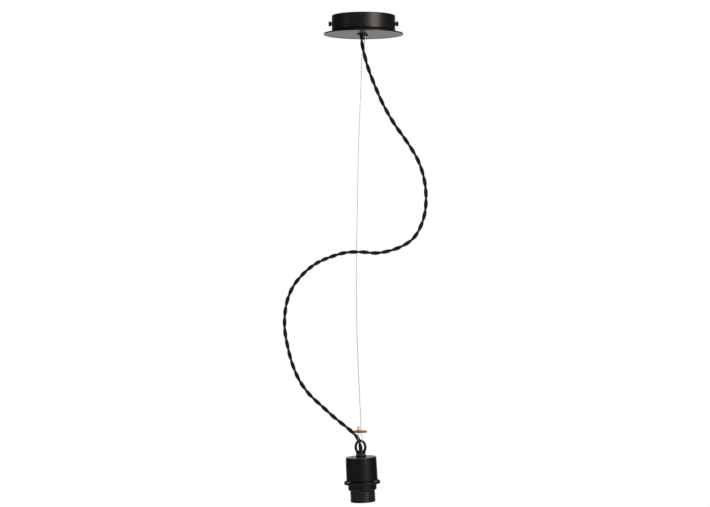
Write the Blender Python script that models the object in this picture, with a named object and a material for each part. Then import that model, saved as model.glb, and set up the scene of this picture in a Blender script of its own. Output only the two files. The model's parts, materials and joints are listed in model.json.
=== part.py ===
"""Pendant light: a two-part ceiling rose, a twisted cord, a steel wire with its lock, and a screw lampholder.

Metres, +Z up. The origin is the middle of the face that lies against the ceiling, and the rest hangs
below it. +X is to the right in the front view and +Y points away from the viewer.
"""

import math

import bmesh
import bpy
from mathutils import Matrix, Vector

# Fits
GAP = 0.0003
CORD_PLAY = 0.0004
WIRE_PLAY = 0.0003
REACH = 0.002

# Smoothness of the round pieces
WIDE_SIDES = 48
HOLDER_SIDES = 36
LOOP_SIDES = 24
SMALL_SIDES = 16
TINY_SIDES = 10
SHARP_ANGLE = math.radians(32)

# Cord and wire
CORD_DIAMETER = 0.0068
CORE_DIAMETER = 0.0022
CORE_OFFSET = 0.0013
WIRE_DIAMETER = 0.0010

# Ceiling cup, pressed from sheet, open below
SHEET = 0.0008
CUP_DIAMETER = 0.101
CUP_DEPTH = 0.0235
CUP_BEND = 0.0013
CABLE_ENTRY_DIAMETER = 0.014
CABLE_ENTRY_X = -0.025
FIXING_SLOT_WIDTH = 0.005
FIXING_SLOT_LENGTH = 0.012
FIXING_SLOT_SPACING = 0.072

# Cover plate: a flat disc with a collar that slides up inside the cup
PLATE_DIAMETER = 0.126
PLATE_THICKNESS = 0.0012
PLATE_EDGE = 0.0003
PLATE_RIM_DROP = 0.0009
PLATE_RIM_WIDTH = 0.0014
PLATE_RIM_FILLET = 0.0006
RIM_TO_PLATE = 0.0048
COLLAR_OVERLAP = 0.016

# Side screws that hold the collar in the cup, and the nuts behind them
SIDE_SCREW_RISE = 0.0105
SIDE_HEAD_DIAMETER = 0.008
SIDE_HEAD_LENGTH = 0.0045
SIDE_THREAD = 0.0036
SIDE_NUT_ACROSS = 0.007
SIDE_NUT_HEIGHT = 0.0032
THREAD_END = 0.0008

# Cord bush in the plate
CORD_OUTLET = (-0.0032, -0.0070)
BUSH_FLANGE_DIAMETER = 0.0138
BUSH_FLANGE_HEIGHT = 0.0019
BUSH_EDGE = 0.0006
BUSH_MOUTH_EDGE = 0.0004
BUSH_STEM_DIAMETER = 0.0098
BUSH_NUT_ACROSS = 0.014
BUSH_NUT_HEIGHT = 0.003

# Wire nipple in the plate
WIRE_OUTLET = (0.0020, 0.0070)
NIPPLE_WASHER_DIAMETER = 0.010
NIPPLE_WASHER_HEIGHT = 0.0012
NIPPLE_FLANGE_DIAMETER = 0.009
NIPPLE_FLANGE_HEIGHT = 0.002
NIPPLE_NECK_DIAMETER = 0.0055
NIPPLE_NECK_LENGTH = 0.005
NIPPLE_TIP_EDGE = 0.0014
NIPPLE_FLANGE_EDGE = 0.0005
NIPPLE_STEM_DIAMETER = 0.005
NIPPLE_NUT_ACROSS = 0.008
NIPPLE_NUT_HEIGHT = 0.0025
STOP_DIAMETER = 0.003
STOP_LENGTH = 0.006

# Terminal block under the top of the cup
BLOCK_CENTRE = (0.024, 0.018)
BLOCK_SIZE = (0.022, 0.017, 0.013)
POLE_SPACING = 0.012
BARREL_DIAMETER = 0.005
BARREL_BORE = 0.003
BARREL_LENGTH = 0.0155
CLAMP_SCREW_DIAMETER = 0.0022
CLAMP_SCREW_LENGTH = 0.0045
CLAMP_SCREW_SPACING = 0.0085
BLOCK_SCREW_DIAMETER = 0.0026
BLOCK_SCREW_HEAD = (0.0052, 0.0018)

# Earth terminal under the top of the cup
EARTH_PLACE = (0.022, -0.022)
EARTH_SCREW_DIAMETER = 0.0036
EARTH_HEAD = (0.0075, 0.0025)
EARTH_WASHER = (0.009, 0.0008)

# Wire lock: a disc with two holes that the wire passes down and back up through
LOCK_PLACE = (-0.00605, 0.0, -0.6581)
LOCK_DIAMETER = 0.023
LOCK_THICKNESS = 0.0025
LOCK_HOLE_SPACING = 0.0041
LOCK_EDGE = 0.0010
LOCK_SCREW_ANGLE = math.radians(-45)
LOCK_SCREW_HEAD = (0.0024, 0.0014)
LOCK_SCREW_DIAMETER = 0.0011
LOCK_SCREW_TIP = 0.003
END_FERRULE_DIAMETER = 0.0028
END_FERRULE_LENGTH = 0.007
END_FERRULE_DEPTH = 0.006

# Lampholder, hanging a little out of plumb. Its own origin is where the wire bears in the eye of the loop.
HANG_PLACE = (-0.0051, 0.0, -0.6761)
HANG_TILT = math.radians(-2.7)

# Cast loop with a hollow foot and a threaded stem
LOOP_BAR = 0.0042
LOOP_WIDTH = 0.0194
LOOP_NECK_WIDTH = 0.0149
LOOP_BELLY_DROP = 0.0077
LOOP_NECK_DROP = 0.0178
LOOP_NECK_SWELL = 1.08
LOOP_HEEL_SWELL = 1.2
# How far the curve of the ring runs straight out of its crown, belly, neck and heel, before and after each
CROWN_RUN = 0.0046
BELLY_RUNS = (0.0052, 0.0044)
NECK_RUNS = (0.0030, 0.0008)
HEEL_RUN = 0.0008
LOOP_FOOT_DIAMETER = 0.0163
LOOP_FOOT_HEIGHT = 0.0025
LOOP_FOOT_EDGES = (0.0006, 0.0012)
LOOP_WAIST_RISE = 0.0022
LOOP_WAIST_FILLET = 0.002
LOOP_BOSS_DIAMETER = 0.0106
LOOP_BOSS_TOP = -0.0128
LOOP_BOSS_EDGE = 0.0007
LOOP_BORE = 0.0082
BORE_FLARE = 0.0006
BORE_FLARE_DEPTH = 0.0012
LOOP_STEM_DIAMETER = 0.010
LOOP_NUT_ACROSS = 0.014
LOOP_NUT_HEIGHT = 0.003

# Cap of the lampholder, moulded
CAP_TOP = -0.0230
CAP_HEIGHT = 0.0372
CAP_TOP_DIAMETER = 0.0488
CAP_BOTTOM_DIAMETER = 0.0499
CAP_WALL = 0.0025
CAP_EDGE = 0.0020
CAP_INNER_FILLET = 0.0018
CAP_RIM_EDGES = (0.0006, 0.0005)
CAP_BAND = 0.0138
CAP_RIBS = 6
CAP_RIB_THICKNESS = 0.0016
CAP_RIB_DEPTH = 0.0042

# Threaded skirt and shade ring
SKIRT_DIAMETER = 0.0396
SKIRT_LENGTH = 0.0443
SKIRT_WALL = 0.0035
SKIRT_EDGE = 0.0013
SKIRT_INNER_EDGE = 0.0010
SKIRT_MOUTH = 0.0081
SHELL_LEDGE = 0.0017
RING_DIAMETER = 0.0575
RING_THICKNESS = 0.0028
RING_EDGES = (0.0003, 0.0006)
RING_LIP = 0.0012
RING_LIP_WIDTH = 0.0009
RING_CLEAR_OF_CAP = 0.0027
RING_COLLAR_DIAMETER = 0.0452
RING_COLLAR_HEIGHT = 0.0074
RING_CONE_HEIGHT = 0.0027
RING_CONE_DIAMETER = 0.0414

# Contact carrier, screw shell and contacts
CARRIER_FLANGE = 0.003
CARRIER_BOSS_HEIGHT = 0.005
CARRIER_EDGE = 0.0005
SHELL_DIAMETER = 0.0274
SHELL_SHEET = 0.0004
TERMINAL_SIZE = (0.008, 0.0055, 0.006)
TERMINAL_INNER_X = 0.007
TERMINAL_SCREW_X = 0.0125
TERMINAL_SCREW_DIAMETER = 0.0024
TERMINAL_SCREW_HEAD = (0.005, 0.0014)
TERMINAL_BORE = 0.0028
TERMINAL_BORE_RISE = 0.0032
RIVET_X = 0.009
RIVET_DIAMETER = 0.0024
RIVET_HEAD = (0.0044, 0.0008)
RIVET_ENGAGEMENT = 0.0009
STRIP_THICKNESS = 0.0005
STRIP_WIDTH = 0.005
LEAF_ENDS = (-0.0118, 0.0032)
LEAF_BEND = -0.0060
LEAF_CONTACT = (-0.0004, 0.0016)
LEAF_DROP = 0.0038
LEAF_LIFT = 0.0010
SIDE_TONGUE_START = 0.0066
SIDE_TONGUE = 0.004

# Cord stop under the stem of the loop
CORD_STOP_DIAMETER = 0.013
CORD_STOP_HEIGHT = 0.005
CORD_STOP_SCREW = 0.002
CORD_STOP_HEAD = (0.0036, 0.0012)

# Route of the cord, from inside the rose to inside the lampholder, in millimetres
CORD_ROUTE = (
    (-3.2, -7.0, -23.0), (-3.2, -7.0, -36.0), (2.7, -7.0, -68.0),
    (19.5, -7.0, -115.5), (32.5, -7.0, -144.1), (49.0, -7.0, -172.6), (69.1, -7.0, -201.1),
    (86.1, -7.0, -229.7), (95.6, -7.0, -258.2), (98.8, -7.0, -286.7), (96.5, -7.0, -315.3),
    (90.3, -7.0, -334.3), (78.5, -7.0, -353.3), (60.2, -7.0, -365.8), (40.3, -7.0, -373.0),
    (20.6, -7.0, -376.3), (-3.2, -7.0, -374.7), (-26.9, -6.5, -375.5), (-50.7, -6.0, -382.0),
    (-74.5, -5.0, -392.6), (-97.8, -4.0, -411.8), (-111.4, -3.0, -429.4), (-119.8, -2.0, -448.4),
    (-124.4, -0.8, -472.0), (-124.9, 0.5, -496.0), (-120.3, 2.0, -524.5), (-112.7, 3.5, -553.0),
    (-100.0, 5.0, -581.5), (-86.1, 6.5, -600.6), (-66.2, 8.5, -619.6), (-45.4, 10.4, -638.6),
    (-28.5, 11.6, -652.3), (-17.9, 11.8, -661.3), (-10.6, 10.6, -668.8), (-7.2, 8.4, -674.8),
    (-5.6, 5.1, -680.4), (-4.7, 1.4, -685.6), (-4.4, 0.1, -690.4), (-4.21, 0.0, -695.0),
    (-3.29, 0.0, -714.5),
)
CORD_STEPS = 2

# Route of the wire, from its stop in the rose, through the lock, round the loop and back, in millimetres
WIRE_ROUTE = (
    (2.0, 7.0, -17.5), (2.0, 7.0, -28.0), (2.0, 7.0, -38.2), (0.6, 6.9, -47.5), (-2.0, 6.7, -58.0),
    (-3.0, 6.5, -70.0), (-3.5, 6.3, -92.0), (-4.6, 5.9, -130.0), (-7.0, 5.3, -180.0),
    (-8.6, 4.6, -241.5), (-9.6, 3.9, -305.0), (-11.1, 3.1, -374.7), (-11.3, 2.3, -440.0),
    (-10.3, 1.6, -501.5), (-8.2, 0.9, -558.6), (-5.9, 0.4, -609.3), (-4.0, 0.0, -648.0),
    (-4.0, 0.0, -661.0), (-2.8, -1.0, -665.5), (-1.9, -2.5, -670.0), (-2.5, -3.0, -674.2),
    (-3.8, -2.15, -676.5), (-5.1, 0.0, -677.4), (-6.4, 2.15, -676.6), (-7.4, 3.0, -674.3),
    (-8.2, 2.2, -670.0), (-8.4, 0.9, -666.0), (-8.1, 0.0, -661.5), (-8.1, 0.0, -652.4),
)
WIRE_STEPS = 2

# Routes of the cores in the rose and, in the lampholder's own frame, in the cap, in millimetres
ROSE_LIVE_ROUTE = (
    (-4.5, -7.0, -22.7), (-4.5, -7.2, -18.0), (-2.0, -7.0, -12.0), (6.0, -4.0, -8.4),
    (14.0, 1.0, -7.7), (17.6, 6.0, -7.6), (18.0, 11.0, -7.6), (18.0, 15.0, -7.6),
)
ROSE_NEUTRAL_ROUTE = (
    (-1.9, -7.0, -22.7), (-1.6, -7.0, -18.5), (1.5, -8.0, -14.5), (10.0, -8.0, -11.0),
    (20.0, -5.0, -8.4), (27.0, 0.0, -7.7), (29.8, 6.0, -7.6), (30.0, 11.0, -7.6), (30.0, 15.0, -7.6),
)
HOLDER_LIVE_ROUTE = (
    (-1.3, 0.0, -38.9), (-1.9, 0.0, -40.6), (-3.6, 0.0, -42.5), (-6.0, 0.0, -43.2), (-9.5, 0.0, -43.2),
)
CORE_STEPS = 2

# Places that follow from the sizes above
CUP_RADIUS = CUP_DIAMETER / 2
COLLAR_RADIUS = CUP_RADIUS - SHEET - GAP
PLATE_TOP = -(CUP_DEPTH + RIM_TO_PLATE)
PLATE_BOTTOM = PLATE_TOP - PLATE_THICKNESS
COLLAR_TOP = -(CUP_DEPTH - COLLAR_OVERLAP)
SIDE_SCREW_Z = -(CUP_DEPTH - SIDE_SCREW_RISE)
UNDER_CUP = -SHEET - GAP
BARREL_Z = UNDER_CUP - BLOCK_SIZE[2] / 2
WIRE_BORE = WIRE_DIAMETER + 2 * WIRE_PLAY
CORD_BORE = CORD_DIAMETER + 2 * CORD_PLAY
LOOP_FOOT_BOTTOM = CAP_TOP + GAP
LOOP_NUT_TOP = CAP_TOP - CAP_WALL - GAP
LOOP_STEM_BOTTOM = LOOP_NUT_TOP - LOOP_NUT_HEIGHT - THREAD_END
CAP_BOTTOM = CAP_TOP - CAP_HEIGHT
BAND_TOP = CAP_BOTTOM + CAP_BAND
THREAD_RADIUS = SKIRT_DIAMETER / 2
BAND_RADIUS = THREAD_RADIUS + GAP
CARRIER_TOP = BAND_TOP - GAP
CARRIER_UNDER = CARRIER_TOP - CARRIER_FLANGE
SKIRT_TOP = CARRIER_UNDER - GAP
SKIRT_BOTTOM = SKIRT_TOP - SKIRT_LENGTH
SKIRT_BORE_RADIUS = THREAD_RADIUS - SKIRT_WALL
LEDGE_BOTTOM = SKIRT_BOTTOM + SKIRT_MOUTH
LEDGE_TOP = LEDGE_BOTTOM + SHELL_LEDGE
SHELL_BORE_RADIUS = SHELL_DIAMETER / 2 - SHELL_SHEET
BOSS_BOTTOM = CARRIER_UNDER - CARRIER_BOSS_HEIGHT
RING_TOP = CAP_BOTTOM - RING_CLEAR_OF_CAP
CORD_STOP_TOP = LOOP_STEM_BOTTOM - GAP


def clear_scene():
    for old in list(bpy.data.objects):
        bpy.data.objects.remove(old)


def material(name, colour, roughness, metallic=0.0):
    made = bpy.data.materials.new(name)
    made.use_nodes = True
    shader = made.node_tree.nodes["Principled BSDF"]
    shader.inputs["Base Color"].default_value = (*colour, 1.0)
    shader.inputs["Roughness"].default_value = roughness
    shader.inputs["Metallic"].default_value = metallic
    made.diffuse_color = (*colour, 1.0)
    return made


def empty(name, location=(0, 0, 0), rotation=(0, 0, 0)):
    made = bpy.data.objects.new(name, None)
    made.empty_display_size = 0.02
    made.location = location
    made.rotation_euler = rotation
    bpy.context.scene.collection.objects.link(made)
    return made


def place(name, shape, finish, parent, location=(0, 0, 0), rotation=(0, 0, 0)):
    """An object from a bmesh, smooth apart from its sharp edges."""
    mesh = bpy.data.meshes.new(name)
    shape.to_mesh(mesh)
    shape.free()
    mesh.materials.append(finish)
    mesh.shade_smooth()
    mesh.set_sharp_from_angle(angle=SHARP_ANGLE)
    piece = bpy.data.objects.new(name, mesh)
    piece.parent = parent
    piece.location = location
    piece.rotation_euler = rotation
    bpy.context.scene.collection.objects.link(piece)
    return piece


def combine(piece, tool, operation):
    """Cut one object from another or join them, with the tool left as a hidden guide."""
    tool.hide_render = True
    tool.display_type = "WIRE"
    change = piece.modifiers.new(tool.name, "BOOLEAN")
    change.operation = operation
    change.object = tool


def cut(piece, name, shape, location=(0, 0, 0), rotation=(0, 0, 0)):
    tool = place(f"{name}_cutter", shape, piece.data.materials[0], piece.parent, location, rotation)
    combine(piece, tool, "DIFFERENCE")


def arc_corner(before, corner, after, radius, steps):
    """Points of the arc that rounds a corner, no larger than its two sides allow."""
    start_side, end_side = before - corner, after - corner
    half = start_side.angle(end_side) / 2
    room = 0.48 * min(start_side.length, end_side.length) * math.tan(half)
    radius = min(radius, room)
    start_side.normalize()
    end_side.normalize()
    middle = corner + (start_side + end_side).normalized() * radius / math.sin(half)
    start = corner + start_side * radius / math.tan(half) - middle
    end = corner + end_side * radius / math.tan(half) - middle
    return [middle + start.slerp(end, step / steps) * radius for step in range(steps + 1)]


def rounded(corners):
    """An outline of (radius, height) points. A corner may add its fillet and the steps in that fillet."""
    points = [Vector(corner[:2]) for corner in corners]
    outline = []
    for index, corner in enumerate(corners):
        if len(corner) == 2:
            outline.append(points[index])
            continue
        before, after = points[index - 1], points[(index + 1) % len(points)]
        steps = corner[3] if len(corner) == 4 else 1
        outline.extend(arc_corner(before, points[index], after, corner[2], steps))
    return outline


def lathe(corners, sides):
    """A shape turned about Z. An outline that starts and ends on the axis gets flat ends there."""
    closed = min(corner[0] for corner in corners) > 0
    ways = [(math.cos(turn), math.sin(turn)) for turn in (math.tau * side / sides for side in range(sides))]
    shape = bmesh.new()
    rings = []
    for radius, height in rounded(corners):
        if radius > 0:
            rings.append([shape.verts.new((radius * x, radius * y, height)) for x, y in ways])
    for index in range(0 if closed else 1, len(rings)):
        for side in range(sides):
            before, after = rings[index - 1], rings[index]
            shape.faces.new((before[side - 1], before[side], after[side], after[side - 1]))
    if not closed:
        shape.faces.new(rings[0])
        shape.faces.new(rings[-1])
    bmesh.ops.recalc_face_normals(shape, faces=shape.faces)
    return shape


def cylinder(diameter, bottom, top, sides):
    radius = diameter / 2
    return lathe([(0, bottom), (radius, bottom), (radius, top), (0, top)], sides)


def prism(outline, bottom, top):
    """A flat outline of (x, y) points drawn up from one height to another."""
    shape = bmesh.new()
    base = shape.faces.new([shape.verts.new((x, y, bottom)) for x, y in outline])
    drawn = bmesh.ops.extrude_face_region(shape, geom=[base])["geom"]
    raised = [item for item in drawn if isinstance(item, bmesh.types.BMVert)]
    bmesh.ops.translate(shape, verts=raised, vec=(0, 0, top - bottom))
    bmesh.ops.recalc_face_normals(shape, faces=shape.faces)
    return shape


def box(size, centre):
    shape = bmesh.new()
    bmesh.ops.create_cube(shape, size=1.0, matrix=Matrix.Translation(centre) @ Matrix.Diagonal((*size, 1)))
    return shape


def hexagon(across):
    corner = across / 2 / math.cos(math.pi / 6)
    turns = [math.pi / 3 * side for side in range(6)]
    return [(corner * math.cos(turn), corner * math.sin(turn)) for turn in turns]


def nut(name, across, height, bore, finish, parent, location, rotation=(0, 0, 0)):
    """A hexagon nut that stands on its own origin."""
    piece = place(name, prism(hexagon(across), 0, height), finish, parent, location, rotation)
    cut(piece, f"{name}_bore", cylinder(bore, -REACH, height + REACH, SMALL_SIDES), location, rotation)
    return piece


def screw(name, head, shank_diameter, shank_length, finish, parent, location, rotation=(0, 0, 0),
          sides=TINY_SIDES):
    """A screw with its seat at its own origin, its head above it and its shank below it."""
    head_radius, head_height = head[0] / 2, head[1]
    shank_radius = shank_diameter / 2
    corners = [
        (0, -shank_length), (shank_radius, -shank_length), (shank_radius, 0),
        (head_radius, 0), (head_radius, head_height, head_height / 4), (0, head_height),
    ]
    return place(name, lathe(corners, sides), finish, parent, location, rotation)


def tube(name, outer, inner, bottom, top, finish, parent, location=(0, 0, 0), rotation=(0, 0, 0),
         sides=SMALL_SIDES):
    corners = [(inner / 2, bottom), (outer / 2, bottom), (outer / 2, top), (inner / 2, top)]
    return place(name, lathe(corners, sides), finish, parent, location, rotation)


def smooth_route(route, steps):
    """Points along one smooth curve through every point of a route in millimetres, in metres."""
    points = [Vector(point) / 1000 for point in route]
    spans = [(after - before).length for before, after in zip(points, points[1:])]
    slopes = [(after - before) / span for before, after, span in zip(points, points[1:], spans)]
    tangents = [slopes[0]]
    for first, second, before, after in zip(slopes, slopes[1:], spans, spans[1:]):
        tangents.append((first * after + second * before) / (before + after))
    tangents.append(slopes[-1])
    curve = []
    for index, span in enumerate(spans):
        start, end = points[index], points[index + 1]
        leave, arrive = tangents[index] * span, tangents[index + 1] * span
        for step in range(steps):
            t = step / steps
            curve.append(
                start * (2 * t**3 - 3 * t**2 + 1) + leave * (t**3 - 2 * t**2 + t)
                + end * (3 * t**2 - 2 * t**3) + arrive * (t**3 - t**2)
            )
    curve.append(points[-1])
    return curve


def flexible(name, route, diameter, steps, finish, parent):
    """A plain round tube along a smooth route, with closed ends."""
    path = smooth_route(route, steps)
    curve = bpy.data.curves.new(name, "CURVE")
    curve.dimensions = "3D"
    curve.bevel_depth = diameter / 2
    curve.bevel_resolution = 2
    curve.use_fill_caps = True
    curve.materials.append(finish)
    spline = curve.splines.new("POLY")
    spline.points.add(len(path) - 1)
    for point, place_in_path in zip(spline.points, path):
        point.co = (*place_in_path, 1)
    piece = bpy.data.objects.new(name, curve)
    piece.parent = parent
    bpy.context.scene.collection.objects.link(piece)
    return piece


def ceiling_cup(rose, paint):
    inner = CUP_RADIUS - SHEET
    corners = [
        (0, 0), (CUP_RADIUS, 0, CUP_BEND, 3), (CUP_RADIUS, -CUP_DEPTH), (inner, -CUP_DEPTH),
        (inner, -SHEET, CUP_BEND - SHEET), (0, -SHEET),
    ]
    cup = place("ceiling_cup", lathe(corners, WIDE_SIDES), paint, rose)
    through = (-SHEET - REACH, REACH)
    cut(cup, "cable_entry", cylinder(CABLE_ENTRY_DIAMETER, *through, SMALL_SIDES), (CABLE_ENTRY_X, 0, 0))
    for side, name in ((-1, "front"), (1, "back")):
        cut(cup, f"fixing_slot_{name}", slot_shape(*through), (0, side * FIXING_SLOT_SPACING / 2, 0))
    block_hole = cylinder(BLOCK_SCREW_DIAMETER + 2 * GAP, *through, TINY_SIDES)
    cut(cup, "block_screw_hole", block_hole, (*BLOCK_CENTRE, 0))
    earth_hole = cylinder(EARTH_SCREW_DIAMETER + 2 * GAP, *through, TINY_SIDES)
    cut(cup, "earth_screw_hole", earth_hole, (*EARTH_PLACE, 0))
    side_holes(cup, "cup_side")


def slot_shape(bottom, top):
    """A slot with round ends along X."""
    radius = FIXING_SLOT_WIDTH / 2
    straight = FIXING_SLOT_LENGTH / 2 - radius
    turns = [math.pi * (step / 6 - 0.5) for step in range(7)]
    right = [(straight + radius * math.cos(turn), radius * math.sin(turn)) for turn in turns]
    left = [(-x, -y) for x, y in right]
    return prism(right + left, bottom, top)


def side_holes(piece, name):
    """One cutter across the piece makes the hole on each side."""
    length = CUP_DIAMETER / 2 + REACH
    hole = cylinder(SIDE_THREAD + 2 * GAP, -length, length, TINY_SIDES)
    cut(piece, f"{name}_holes", hole, (0, 0, SIDE_SCREW_Z), (0, math.pi / 2, 0))


def cover_plate(rose, paint):
    """The plate with its edge turned down, and the collar that slides up inside the cup."""
    radius = PLATE_DIAMETER / 2
    rim, rim_bottom = radius - PLATE_RIM_WIDTH, PLATE_BOTTOM - PLATE_RIM_DROP
    collar_inner = COLLAR_RADIUS - SHEET
    corners = [
        (0, PLATE_BOTTOM), (rim, PLATE_BOTTOM, PLATE_RIM_FILLET), (rim, rim_bottom),
        (radius, rim_bottom, PLATE_EDGE), (radius, PLATE_TOP),
        (COLLAR_RADIUS, PLATE_TOP), (COLLAR_RADIUS, COLLAR_TOP), (collar_inner, COLLAR_TOP),
        (collar_inner, PLATE_TOP), (0, PLATE_TOP),
    ]
    plate = place("cover_plate", lathe(corners, WIDE_SIDES), paint, rose)
    through = (PLATE_BOTTOM - REACH, PLATE_TOP + REACH)
    bush_hole = cylinder(BUSH_STEM_DIAMETER + 2 * GAP, *through, SMALL_SIDES)
    cut(plate, "bush_hole", bush_hole, (*CORD_OUTLET, 0))
    nipple_hole = cylinder(NIPPLE_STEM_DIAMETER + 2 * GAP, *through, SMALL_SIDES)
    cut(plate, "nipple_hole", nipple_hole, (*WIRE_OUTLET, 0))
    side_holes(plate, "collar_side")


def side_fixings(rose, paint, steel):
    """The screws and nuts on the left and the right, each screw pointing at the middle."""
    corner = SIDE_NUT_ACROSS / 2 / math.cos(math.pi / 6)
    nut_face = math.sqrt((COLLAR_RADIUS - SHEET) ** 2 - corner**2) - GAP
    seat = CUP_RADIUS + GAP
    length = seat - nut_face + SIDE_NUT_HEIGHT + THREAD_END
    for side, name in ((-1, "left"), (1, "right")):
        rotation = (0, side * math.pi / 2, 0)
        head = (SIDE_HEAD_DIAMETER, SIDE_HEAD_LENGTH)
        spot = (side * seat, 0, SIDE_SCREW_Z)
        screw(f"side_screw_{name}", head, SIDE_THREAD, length, paint, rose, spot, rotation, SMALL_SIDES)
        back = side * (nut_face - SIDE_NUT_HEIGHT)
        bore = SIDE_THREAD + 2 * GAP
        place_of_nut = (back, 0, SIDE_SCREW_Z)
        nut(f"side_nut_{name}", SIDE_NUT_ACROSS, SIDE_NUT_HEIGHT, bore, steel, rose, place_of_nut, rotation)


def cord_bush(rose, nylon):
    flange_top = PLATE_BOTTOM - GAP
    nut_bottom = PLATE_TOP + GAP
    stem_top = nut_bottom + BUSH_NUT_HEIGHT + THREAD_END
    bore, stem, flange = CORD_BORE / 2, BUSH_STEM_DIAMETER / 2, BUSH_FLANGE_DIAMETER / 2
    flange_bottom = flange_top - BUSH_FLANGE_HEIGHT
    corners = [
        (bore, flange_bottom, BUSH_MOUTH_EDGE), (flange, flange_bottom, BUSH_EDGE, 2), (flange, flange_top),
        (stem, flange_top), (stem, stem_top), (bore, stem_top),
    ]
    place("cord_bush", lathe(corners, SMALL_SIDES), nylon, rose, (*CORD_OUTLET, 0))
    nut_bore = BUSH_STEM_DIAMETER + 2 * GAP
    seat = (*CORD_OUTLET, nut_bottom)
    nut("cord_bush_nut", BUSH_NUT_ACROSS, BUSH_NUT_HEIGHT, nut_bore, nylon, rose, seat)


def wire_nipple(rose, plated, brass, fibre, steel):
    outlet = (*WIRE_OUTLET, 0)
    washer_top = PLATE_BOTTOM - GAP
    washer_bottom = washer_top - NIPPLE_WASHER_HEIGHT
    washer_bore = NIPPLE_STEM_DIAMETER + 2 * GAP
    tube("nipple_washer", NIPPLE_WASHER_DIAMETER, washer_bore, washer_bottom, washer_top, fibre, rose, outlet)
    flange_top = washer_bottom - GAP
    flange_bottom = flange_top - NIPPLE_FLANGE_HEIGHT
    neck_bottom = flange_bottom - NIPPLE_NECK_LENGTH
    nut_bottom = PLATE_TOP + GAP
    stem_top = nut_bottom + NIPPLE_NUT_HEIGHT + THREAD_END
    bore, neck = WIRE_BORE / 2, NIPPLE_NECK_DIAMETER / 2
    flange, stem = NIPPLE_FLANGE_DIAMETER / 2, NIPPLE_STEM_DIAMETER / 2
    corners = [
        (bore, neck_bottom), (neck, neck_bottom, NIPPLE_TIP_EDGE, 3), (neck, flange_bottom),
        (flange, flange_bottom, NIPPLE_FLANGE_EDGE), (flange, flange_top), (stem, flange_top),
        (stem, stem_top), (bore, stem_top),
    ]
    place("wire_nipple", lathe(corners, SMALL_SIDES), plated, rose, outlet)
    nut_bore = NIPPLE_STEM_DIAMETER + 2 * GAP
    seat = (*WIRE_OUTLET, nut_bottom)
    nut("nipple_nut", NIPPLE_NUT_ACROSS, NIPPLE_NUT_HEIGHT, nut_bore, brass, rose, seat)
    stop_bottom = stem_top + GAP
    stop_top = stop_bottom + STOP_LENGTH
    tube("wire_stop", STOP_DIAMETER, WIRE_BORE, stop_bottom, stop_top, steel, rose, outlet, sides=TINY_SIDES)


def terminal_block(rose, nylon, brass, steel):
    """A two-pole block: a moulded body, a brass barrel and two clamp screws for each pole, and its fixing."""
    width, length, height = BLOCK_SIZE
    x, y = BLOCK_CENTRE
    bottom = UNDER_CUP - height
    body = place("terminal_block", box(BLOCK_SIZE, (x, y, BARREL_Z)), nylon, rose)
    fixing_hole = cylinder(BLOCK_SCREW_DIAMETER + 2 * GAP, bottom - REACH, UNDER_CUP + REACH, TINY_SIDES)
    cut(body, "block_fixing_hole", fixing_hole, (x, y, 0))
    along_y = (math.pi / 2, 0, 0)
    for side, pole in ((-1, "live"), (1, "neutral")):
        pole_x = x + side * POLE_SPACING / 2
        centre = (pole_x, y, BARREL_Z)
        half = BARREL_LENGTH / 2
        channel = cylinder(BARREL_DIAMETER + 2 * GAP, -length / 2 - REACH, length / 2 + REACH, SMALL_SIDES)
        cut(body, f"{pole}_channel", channel, centre, along_y)
        name_of_barrel = f"{pole}_barrel"
        barrel = tube(name_of_barrel, BARREL_DIAMETER, BARREL_BORE, -half, half, brass, rose, centre, along_y)
        for end, name in ((-1, "supply"), (1, "lamp")):
            screw_y = y - end * CLAMP_SCREW_SPACING / 2
            well = cylinder(CLAMP_SCREW_DIAMETER + 2 * GAP, bottom - REACH, BARREL_Z, TINY_SIDES)
            cut(body, f"{pole}_{name}_well", well, (pole_x, screw_y, 0))
            hole = cylinder(CLAMP_SCREW_DIAMETER + 2 * GAP, bottom, BARREL_Z, TINY_SIDES)
            cut(barrel, f"{pole}_{name}_hole", hole, (pole_x, screw_y, 0))
            tip = BARREL_Z - CORE_DIAMETER / 2 - GAP
            pin = cylinder(CLAMP_SCREW_DIAMETER, tip - CLAMP_SCREW_LENGTH, tip, TINY_SIDES)
            place(f"{pole}_{name}_screw", pin, steel, rose, (pole_x, screw_y, 0))
    seat = (x, y, bottom - GAP)
    shank = -GAP - seat[2]
    screw("block_screw", BLOCK_SCREW_HEAD, BLOCK_SCREW_DIAMETER, shank, steel, rose, seat, (math.pi, 0, 0))


def earth_terminal(rose, brass, steel):
    washer_top = UNDER_CUP
    washer_bottom = washer_top - EARTH_WASHER[1]
    bore = EARTH_SCREW_DIAMETER + 2 * GAP
    spot = (*EARTH_PLACE, 0)
    width = EARTH_WASHER[0]
    tube("earth_washer", width, bore, washer_bottom, washer_top, steel, rose, spot, sides=TINY_SIDES)
    seat = (*EARTH_PLACE, washer_bottom - GAP)
    shank = -GAP - seat[2]
    screw("earth_screw", EARTH_HEAD, EARTH_SCREW_DIAMETER, shank, brass, rose, seat, (math.pi, 0, 0))


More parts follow.
